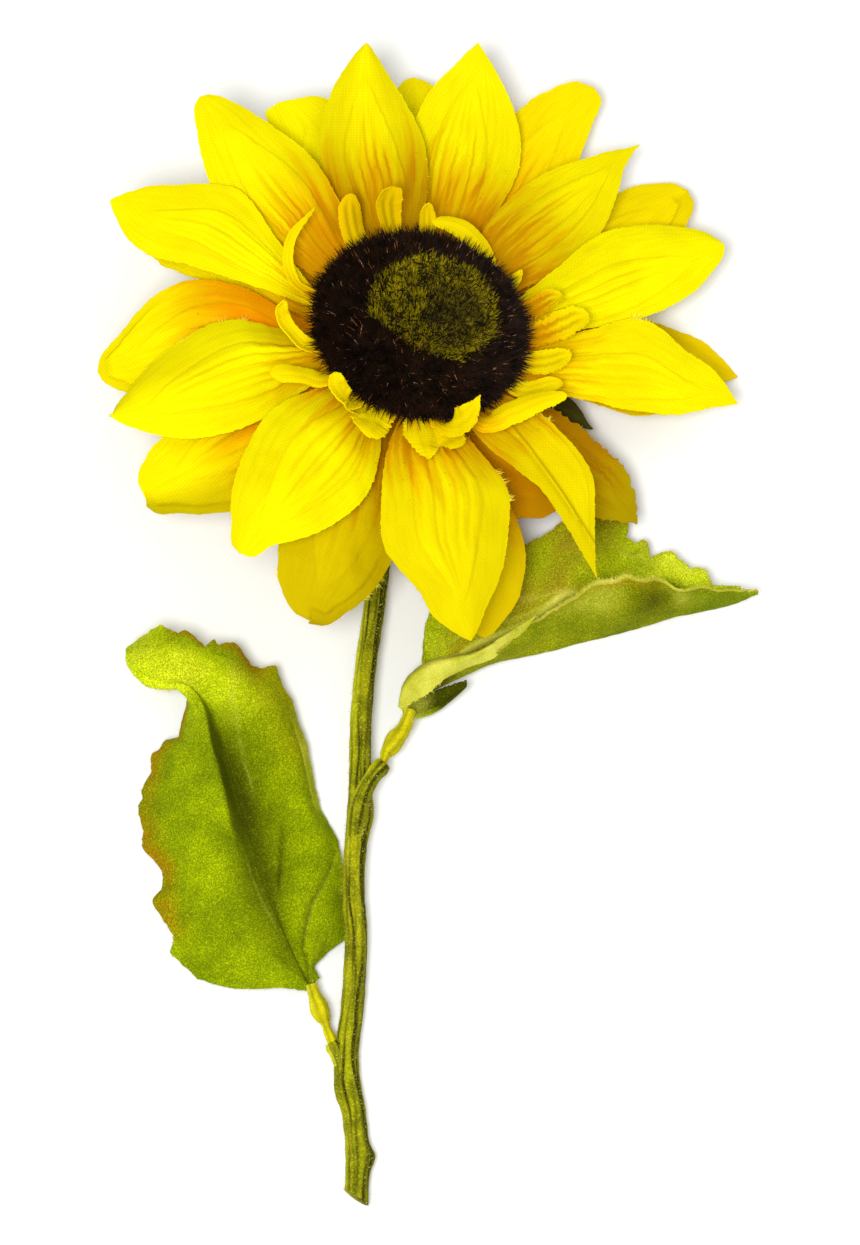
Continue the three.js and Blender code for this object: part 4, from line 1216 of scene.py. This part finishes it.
# ---------- leaves ----------
def loft(guides, rows, columns, sharp=(), start=0.0):
    """Sheet stretched smoothly over guide lines that run side by side. It keeps an edge at the sharp ones,
    which grows from that share of the length on."""
    deselect()
    bpy.ops.mesh.primitive_grid_add(x_subdivisions=rows, y_subdivisions=columns, size=1)
    piece = bpy.context.object
    flat = points_of(piece) + [0.5, 0.5, 0]
    u, v = flat[:, 0], flat[:, 1]
    lines = np.stack([cornered(line, u) if len(line[0]) == 4 else through(line, u) for line in guides])
    spans = len(guides) - 1
    place = v * spans
    first = np.minimum(place.astype(int), spans - 1)
    share = (place - first)[:, None]
    index = np.arange(len(u))

    def slope(at, side):
        """Slope across the sheet at guide number at, as seen from the span on one side of it."""
        low, high = np.maximum(at - 1, 0), np.minimum(at + 1, spans)
        middle = (lines[high, index] - lines[low, index]) / np.maximum(high - low, 1)[:, None]
        ahead, behind = np.clip(at + (side > 0), 0, spans), np.clip(at - (side < 0), 0, spans)
        own = lines[ahead, index] - lines[behind, index]
        hard = np.where((at == 0) | (at == spans), 1, np.isin(at, sharp) * step(start, start + 0.14, u))
        return own * hard[:, None] + middle * (1 - hard[:, None])

    a, b = lines[first, index], lines[first + 1, index]
    m, n = slope(first, 1), slope(first + 1, -1)
    s2, s3 = share ** 2, share ** 3
    surface = a * (2 * s3 - 3 * s2 + 1) + m * (s3 - 2 * s2 + share) + b * (3 * s2 - 2 * s3) + n * (s3 - s2)
    move_points(piece, surface)
    return piece, u, v


def outward(piece, u, v, side):
    """Unit vectors in the sheet, away from its middle, for the margin at v = side."""
    places = points_of(piece)
    order = np.lexsort((v, u))
    rows = len(np.unique(np.round(u, 6)))
    grid = places[order].reshape(rows, -1, 3)
    edge = grid[:, -1] - grid[:, -4] if side else grid[:, 0] - grid[:, 3]
    edge /= np.linalg.norm(edge, axis=1)[:, None] + 1e-9
    ways = np.empty_like(places)
    ways[order] = np.repeat(edge, grid.shape[1], axis=0)
    return ways


def nibble(piece, u, v, side, height, seed, pitch):
    """Fine uneven cutting and fray along a margin."""
    edge = v if side else 1 - v
    rough = np.array([
        noise.noise(Vector((a * pitch, seed, 0))) + 0.5 * noise.noise(Vector((a * pitch * 2.7, seed, 5)))
        for a in u])
    fray = outward(piece, u, v, side) * (rough * height * step(0.95, 1, edge))[:, None]
    move_points(piece, points_of(piece) + fray)


def finish_sheet(piece, cloth, name, slack, *nodes):
    """Crumples a flocked sheet a little, keeps it off the floor, and gives it its thickness."""
    crumple(piece, "slack", slack)
    crumple(piece, "crumple", 0.5)
    keep_above(piece, 0.2 + FLOCKED_CLOTH / 2)
    finish_cloth(piece, FLOCKED_CLOTH, name, BENCH, cloth, "leaf_fabric", *nodes)


def leaf_fuzz(piece, u, v, sides, count, seed):
    """Roots, directions and lengths of loose fibres along a sheet's margins."""
    random = np.random.default_rng(seed)
    places = points_of(piece)
    roots, ways = [], []
    for side in sides:
        out = outward(piece, u, v, side)
        rim = np.flatnonzero(v == side)
        chosen = random.choice(rim, count)
        roots.append(places[chosen] + random.normal(0, 0.15, (count, 3)) - 0.15 * out[chosen])
        ways.append(out[chosen] + random.normal(0, 0.6, (count, 3)))
    roots, ways = np.concatenate(roots), np.concatenate(ways)
    return roots, ways, random.uniform(0.35, 1.1, len(roots))


# Guide lines of the left leaf run from its foot to its curled tip, from its right margin across to its left.
# Smooth ones are (x, y, z) at even steps. Torn margins are (share of the length, x, y, z), corner by corner.
LEFT_LEAF = dict(
    right_margin=(
        (0, -27, -88.5, 4), (0.015, -25.5, -87.5, 3), (0.04, -27, -84.5, 2), (0.07, -24, -81, 1.5),
        (0.1, -20, -78, 1), (0.17, -19.5, -72.5, 1), (0.29, -20.5, -60.5, 1), (0.35, -21.5, -54.5, 1),
        (0.42, -25.5, -46.5, 1), (0.47, -27, -40.5, 1.5), (0.54, -29, -31.5, 2.5), (0.58, -31, -26, 3.5),
        (0.62, -32.5, -20.5, 4.5), (0.645, -34.5, -17.5, 5), (0.68, -36.5, -12.5, 5.5),
        (0.7, -39, -13.5, 6), (0.72, -42, -13, 6.5), (0.75, -44.5, -9, 7), (0.765, -46, -7.5, 7.5),
        (0.8, -49.5, -8.5, 8.5), (0.812, -50.5, -7, 9), (0.83, -52.5, -9.5, 9.5), (0.86, -55.5, -6.5, 10),
        (0.875, -57.5, -5.5, 10.5), (0.89, -59, -6.5, 11), (0.925, -63, -4.5, 12), (0.96, -66, -6.5, 12),
        (0.98, -69, -8.5, 11), (1, -71, -10, 10),
    ),
    right_crest=(
        (-27.5, -89, 4), (-27.5, -79, 5), (-27, -69.5, 4.5), (-27, -59.5, 4.5), (-29, -49.5, 5.5),
        (-32, -39, 6.5), (-35.5, -28, 8), (-41.5, -19, 9), (-51, -11.5, 10), (-61, -9.5, 12),
        (-71, -11, 10),
    ),
    valley=(
        (-28, -89, 4), (-32, -81, 3), (-34.5, -71, 2.5), (-36.5, -60.5, 2), (-39.5, -50, 2),
        (-42.5, -40, 3), (-46, -30, 4.5), (-50.5, -20, 8.5), (-57.5, -14.5, 11), (-64.5, -13.5, 12),
        (-71, -11.5, 10),
    ),
    wall_foot=(
        (-28, -89, 4), (-32.5, -80.5, 3.5), (-37.5, -70, 3.5), (-41, -59.5, 3), (-44, -48.5, 2.5),
        (-47, -37.5, 3), (-50, -27.5, 5.5), (-53.5, -20.5, 9.5), (-59.5, -17, 11.5), (-65.5, -15, 12),
        (-71, -12, 10),
    ),
    ridge=(
        (-28, -89, 4), (-36, -80.5, 3.8), (-42, -70, 5.2), (-45, -58.5, 8), (-47.5, -46, 10.5),
        (-50.5, -34.5, 12), (-53, -24, 12.5), (-57.5, -19.5, 12.5), (-62, -19, 12.5), (-67, -17, 12.5),
        (-71, -12, 10),
    ),
    left_middle=(
        (-28, -89.5, 4), (-40, -82.5, 5), (-48.5, -70.5, 6), (-52.5, -58.5, 7.5), (-56, -47.5, 8),
        (-56.5, -37, 8.5), (-55, -25.5, 10.5), (-58.5, -20, 12), (-62.5, -20, 12), (-67.5, -18, 12),
        (-71, -12.5, 10),
    ),
    left_margin=(
        (0, -28.5, -90.5, 3.5), (0.02, -32, -90, 3), (0.03, -35, -89.5, 2.5), (0.065, -44, -89.5, 1),
        (0.085, -49, -88.5, 1), (0.105, -53.5, -87, 1), (0.12, -57, -84, 1), (0.14, -60, -81, 1),
        (0.16, -59.5, -78.5, 1), (0.175, -59.5, -76.5, 1), (0.22, -63, -71, 1), (0.24, -64.5, -68.5, 1),
        (0.265, -62, -65.5, 1), (0.295, -62, -61.5, 1), (0.32, -64, -58.5, 1), (0.335, -66.5, -56, 1),
        (0.35, -67, -54, 1), (0.365, -66.5, -52, 1), (0.405, -68, -47, 1), (0.43, -67, -43.5, 1.5),
        (0.45, -67, -41, 2), (0.465, -65, -38.5, 2), (0.505, -65, -33, 2.5), (0.512, -63, -32.5, 3),
        (0.525, -62, -30, 3), (0.54, -58.5, -30, 4), (0.57, -57.5, -25.5, 6), (0.59, -56.5, -22, 8),
        (0.61, -55.5, -20, 10.5), (0.7, -59.5, -20, 11), (0.73, -60.5, -20.5, 11.5), (0.8, -64, -20, 11.5),
        (0.87, -66.5, -19, 11.5), (0.94, -69, -16.5, 11), (1, -71, -13, 10),
    ),
)


def left_leaf(cloth):
    """Left leaf in one sheet: a trough under a sharp ridge, its left third turned down, its tip curled."""
    piece, u, v = loft(list(LEFT_LEAF.values()), 190, 84, sharp=(4,), start=0.2)
    nibble(piece, u, v, 1, 0.6, 3, 90)
    nibble(piece, u, v, 0, 0.5, 9, 90)

    # Two raised veins, a crease in the lower half, the flap at the lower right, and a turned strip above.
    vein_place = np.interp(u, (0.45, 0.6, 0.7, 0.76, 0.8), (0.33, 0.31, 0.26, 0.14, 0.02))
    vein = hump(v, vein_place, 0.006) * window(u, 0.44, 0.5, 0.78, 0.81)
    low_vein = hump(v, 0.55 + 0.3 * (u - 0.2), 0.01) * window(u, 0.12, 0.18, 0.27, 0.33)
    crease = hump(v, 0.3 - 0.5 * (u - 0.3), 0.012) * window(u, 0.22, 0.28, 0.36, 0.42)
    flap_place = np.interp(u, (0.08, 0.2, 0.34), (0.22, 0.16, 0))
    flap = step(flap_place + 0.008, flap_place - 0.008, v) * (u < 0.34) * step(0.05, 0.1, u)
    flap_edge = hump(v, flap_place, 0.007) * (u < 0.33) * step(0.08, 0.12, u)
    strip = step(0.075, 0.055, v) * window(u, 0.4, 0.44, 0.56, 0.62)
    shift_points(piece, 0.4 * (vein + low_vein) - 0.6 * crease + 1.1 * flap + 0.5 * strip)

    lip = step(0.9, 0.96, v) * step(0.6, 0.64, u)
    curl_end = 0.2 * step(0.92, 1, u)
    # Painted shade: the wall under the ridge and the floor of the trough are darkened, with an edge only
    # along the ridge.
    left_side = np.where(u > 0.34, step(0.675, 0.664, v), 1 - step(0.5, 0.84, v))
    deep = step(0.22, 0.4, v) * left_side
    deep *= np.interp(u, (0, 0.1, 0.2, 0.3, 0.45, 0.56, 0.68), (0.7, 0.7, 0.66, 0.72, 0.85, 0.7, 0))
    under_flap = (flap < 0.5) * hump(v, flap_place, 0.03) * (u < 0.3)
    left = step(0.92, 0.985, v) * window(u, 0.14, 0.22, 0.58, 0.6)
    top = step(0.1, 0.0, v) * window(u, 0.66, 0.76, 0.89, 0.92)
    side = step(0.3, 0.0, v) * window(u, 0.46, 0.56, 0.72, 0.8)
    # Painted light on the flap's edge and on the lit top of the curl (lime), and painted shade under the
    # flap, in the crease and a little over the right half.
    mark(
        piece,
        pale=0.3 * vein + 0.18 * low_vein + 0.2 * flap_edge + 0.5 * strip + 0.9 * lip + curl_end,
        lime=step(0.6, 0.74, u) * step(0.1, 0.3, v) + 0.25 * step(0.5, 0.7, u),
        valley=deep + 0.5 * crease + 0.55 * under_flap + 0.12 * (v < 0.5),
        edge=left + 0.9 * top + 0.4 * side,
    )
    fuzz = leaf_fuzz(piece, u, v, (0, 1), 420, 5)
    finish_sheet(piece, cloth, "left_leaf", 1.1, "leaf_left", "leaf_left_tip")
    return fuzz


# Guide lines of the right leaf, in the same two forms: its near half from its fold to its lip, its far half
# from its midrib to its margin, the hood at its foot, and the ear below the hood.
NEAR_FOLD = (
    (-5.5, -22.5, 6.5), (4.5, -16.5, 5), (15, -11, 3), (26, -8, 1.5), (37, -5, 1), (48, -2, 1),
    (58.5, 1, 1.5), (69, 3, 3), (77, 4.5, 7.5),
)
NEAR_MIDDLE = (
    (-5.5, -21, 8), (5, -14.5, 8.5), (15.5, -10.5, 8.5), (26.5, -5.5, 8.5), (37, -1.5, 10),
    (48, 0.5, 10.5), (58.5, 1.5, 9), (69, 3.5, 7.5), (77, 4.5, 8),
)
NEAR_LIP = (
    (0, -5.5, -18.5, 8), (0.06, -1.5, -14.5, 8.5), (0.11, 2.5, -12.5, 9), (0.19, 10.5, -12, 9.5),
    (0.26, 16, -10, 10.5), (0.31, 20.5, -6, 11), (0.36, 24.5, -3, 12.5), (0.42, 29.5, -1.5, 13.5),
    (0.46, 32.5, 1, 15), (0.5, 36, 3, 16.5), (0.56, 41, 5, 18), (0.61, 45, 5.5, 18.5), (0.65, 48, 5, 18.5),
    (0.69, 51.5, 5.5, 18.5), (0.72, 53.5, 4.5, 17.5), (0.76, 57, 3, 16), (0.8, 60.5, 3.5, 14),
    (0.87, 66, 4.5, 12), (0.94, 72, 4.5, 10), (1, 77, 5, 8.5),
)
FAR_MIDRIB = (
    (-1, -18.5, 5), (4, -15.5, 4), (12.5, -10, 2.5), (21.5, -7.5, 1.5), (35.5, -3.5, 1.5), (49.5, 0, 2.5),
    (63.5, 4, 4.5), (73, 5.5, 7),
)
FAR_MIDDLE = (
    (-1, -15, 7), (3.5, -10, 7), (11.5, -4, 6.5), (22, 1, 5.5), (34, 8.5, 6), (47.5, 8, 5.5),
    (60.5, 6, 5.5), (72.5, 6, 7),
)
FAR_MARGIN = (
    (0, -1.5, -12.5, 8), (0.05, -1.5, -8, 8.5), (0.1, -1, -3, 9), (0.13, 0, -0.5, 9), (0.19, 5, 0.5, 8),
    (0.25, 10.5, 5, 7), (0.33, 17.5, 12.5, 6), (0.37, 21, 16.5, 5.5), (0.4, 23.5, 18, 5.5),
    (0.44, 27.5, 20, 5.5), (0.48, 31, 23, 5.5), (0.54, 36, 25, 5), (0.6, 42, 24, 5), (0.64, 47, 23, 4.5),
    (0.67, 46, 20, 4.5), (0.7, 48.5, 18, 4.5), (0.725, 51, 19, 4.5), (0.75, 52, 14.5, 4.5),
    (0.78, 55, 15.5, 5), (0.8, 57, 16, 5), (0.83, 59, 13.5, 5), (0.86, 61.5, 11.5, 5),
    (0.89, 63.5, 11.5, 5.5), (0.91, 65, 11, 5.5), (0.94, 66, 7, 6), (1, 73, 6, 7.5),
)
HOOD_BACK = (
    (-6.5, -22.5, 5.5), (-6, -17.5, 6.5), (-1.5, -13, 7), (5, -11, 8), (11, -10.5, 9), (18, -7, 10),
    (25, -2, 11.5),
)
HOOD_TOP = (
    (-7, -23, 6.5), (-6, -19.5, 10), (-2, -16, 12), (4, -13.5, 12.5), (10.5, -12, 12.5), (17, -8, 12.5),
    (24.5, -3, 13),
)
HOOD_RIM = (
    (-6.5, -23.5, 5.5), (-4, -22, 7.5), (-0.5, -20.5, 9), (3, -17.5, 10), (8.5, -14, 9), (15, -11.5, 9),
    (21.5, -6, 10.5),
)
EAR_LOW = (
    (-6, -24.5, 5), (-3.5, -25, 4.5), (0, -24, 4.5), (4, -21.5, 5), (8.5, -18, 6.5),
)
EAR_HIGH = (
    (-6.5, -22.5, 5.5), (-3.5, -21, 5), (0.5, -19, 5), (4.5, -17.5, 5.5), (8.5, -16.5, 7),
)


def near_half(cloth):
    """Right leaf's near half: it stands up from the fold along its midrib and shows its underside."""
    piece, u, v = loft((NEAR_FOLD, NEAR_MIDDLE, NEAR_LIP), 160, 44)
    ripples = 0.5 * step(0.7, 1.0, v) * np.sin(61 * u + 1) * window(u, 0.2, 0.3, 0.85, 0.97)
    waves = 1.1 * np.sin(math.pi * v) * np.sin(17 * u + 1) * window(u, 0.15, 0.4, 0.75, 0.95)
    shift_points(piece, ripples + waves, 1)
    nibble(piece, u, v, 1, 0.7, 12, 110)
    # Painted light on two patches, and painted shade on one patch and at the foot under the hood.
    patch = hump(u, 0.68, 0.055) * hump(v, 0.62, 0.3)
    light = hump(u, 0.76, 0.03) * hump(v, 0.6, 0.35) + hump(u, 0.52, 0.07) * hump(v, 0.75, 0.2)
    lip = step(0.93, 0.97, v)
    mark(
        piece,
        pale=0.05 + 0.4 * light + 0.65 * lip - 0.3 * patch,
        valley=(0.18 + 0.65 * patch + 0.9 * (1 - step(0.1, 0.17, u))) * (1 - 0.8 * lip),
        edge=0.2 + 0.4 * step(0.84, 0.92, v) - 0.2 * step(0.7, 0.85, u),
    )
    fuzz = leaf_fuzz(piece, u, v, (1,), 420, 6)
    finish_sheet(piece, cloth, "right_leaf_near", 0.9, "leaf_right_near")
    return fuzz


def far_half(cloth):
    """Right leaf's far half lies flatter, and is wavy, veined and toothed."""
    piece, u, v = loft((FAR_MIDRIB, FAR_MIDDLE, FAR_MARGIN), 160, 60)
    wave, cross_wave = np.sin(26 * u + 5 * v) * step(0.3, 0.7, v), np.sin(34 * u - 9 * v)
    waves = 1.1 * wave + 1.2 * cross_wave * step(0.35, 0.6, u)
    shift_points(piece, waves * np.sin(math.pi * np.clip(v, 0, 0.8) / 0.8))
    nibble(piece, u, v, 1, 0.9, 21, 110)
    strip = hump(v, 0.36 - 0.25 * (0.5 - u), 0.05) * window(u, 0.12, 0.2, 0.52, 0.6)
    veins = sum(
        hump(v, place - slant * (u - 0.4), 0.022) * step(start, start + 0.1, u)
        for place, slant, start in ((0.46, 0.5, 0.1), (0.62, 1.3, 0.3), (0.7, -0.4, 0.6)))
    shift_points(piece, 0.7 * (strip + 0.4 * veins))
    # Painted shade in the troughs of the waves, and painted light through the lime mark, most towards the
    # tip.
    folds = np.clip(wave + cross_wave, -1, 0) ** 2
    mark(
        piece,
        pale=0.1 + 0.8 * strip + 0.3 * veins,
        lime=0.45 + 0.45 * step(0.66, 0.8, u),
        valley=0.26 * folds * step(0.4, 0.6, v),
        edge=0.55 * window(u, 0.1, 0.2, 0.6, 0.74) + 0.4 * step(0.94, 1.0, v),
    )
    fuzz = leaf_fuzz(piece, u, v, (1,), 420, 7)
    finish_sheet(piece, cloth, "right_leaf_far", 1.1, "leaf_right_far")
    return fuzz


def hood(cloth):
    """The near half rolls over at its foot into a hood."""
    piece, u, v = loft((HOOD_BACK, HOOD_TOP, HOOD_RIM), 70, 30)
    nibble(piece, u, v, 1, 0.5, 33, 50)
    mark(piece, pale=1, lime=0.25 * (1 - step(0.2, 0.5, u)))
    fuzz = leaf_fuzz(piece, u, v, (1,), 160, 8)
    finish_sheet(piece, cloth, "right_leaf_hood", 0.6)
    return fuzz


def ear(cloth):
    """A small ear stands out below the hood's mouth, with painted shade inside."""
    piece, u, v = loft((EAR_LOW, EAR_HIGH), 50, 16)
    shift_points(piece, -1.2 * np.sin(math.pi * v) * np.sin(math.pi * u))
    nibble(piece, u, v, 1, 0.4, 30, 40)
    mark(piece, pale=0.5 * (1 - step(0.3, 0.6, u)), valley=step(0.1, 0.35, v) + step(0.5, 0.7, u))
    finish_sheet(piece, cloth, "right_leaf_ear", 0.3, "leaf_right_ear")


def leaves(cloth):
    fuzz = [left_leaf(cloth), near_half(cloth), far_half(cloth), hood(cloth)]
    ear(cloth)
    spikes("leaf_fuzz", together(fuzz), 0.13, fibre("leaf_fuzz_fibre", "A8AC1C", "E6E078", 0.8, 0.1), BENCH,
           "leaf_fabric")


# ---------- the object ----------
camera()
studio()
clouds("slack", 13)
clouds("lumps", 2.6)
clouds("crumple", 4)
petal_fabric = petal_cloth()
petals(petal_fabric)
florets(petal_fabric)
pile_disc()
calyx(dark_cloth())
stem_parts()
leaves(flock_leaf())
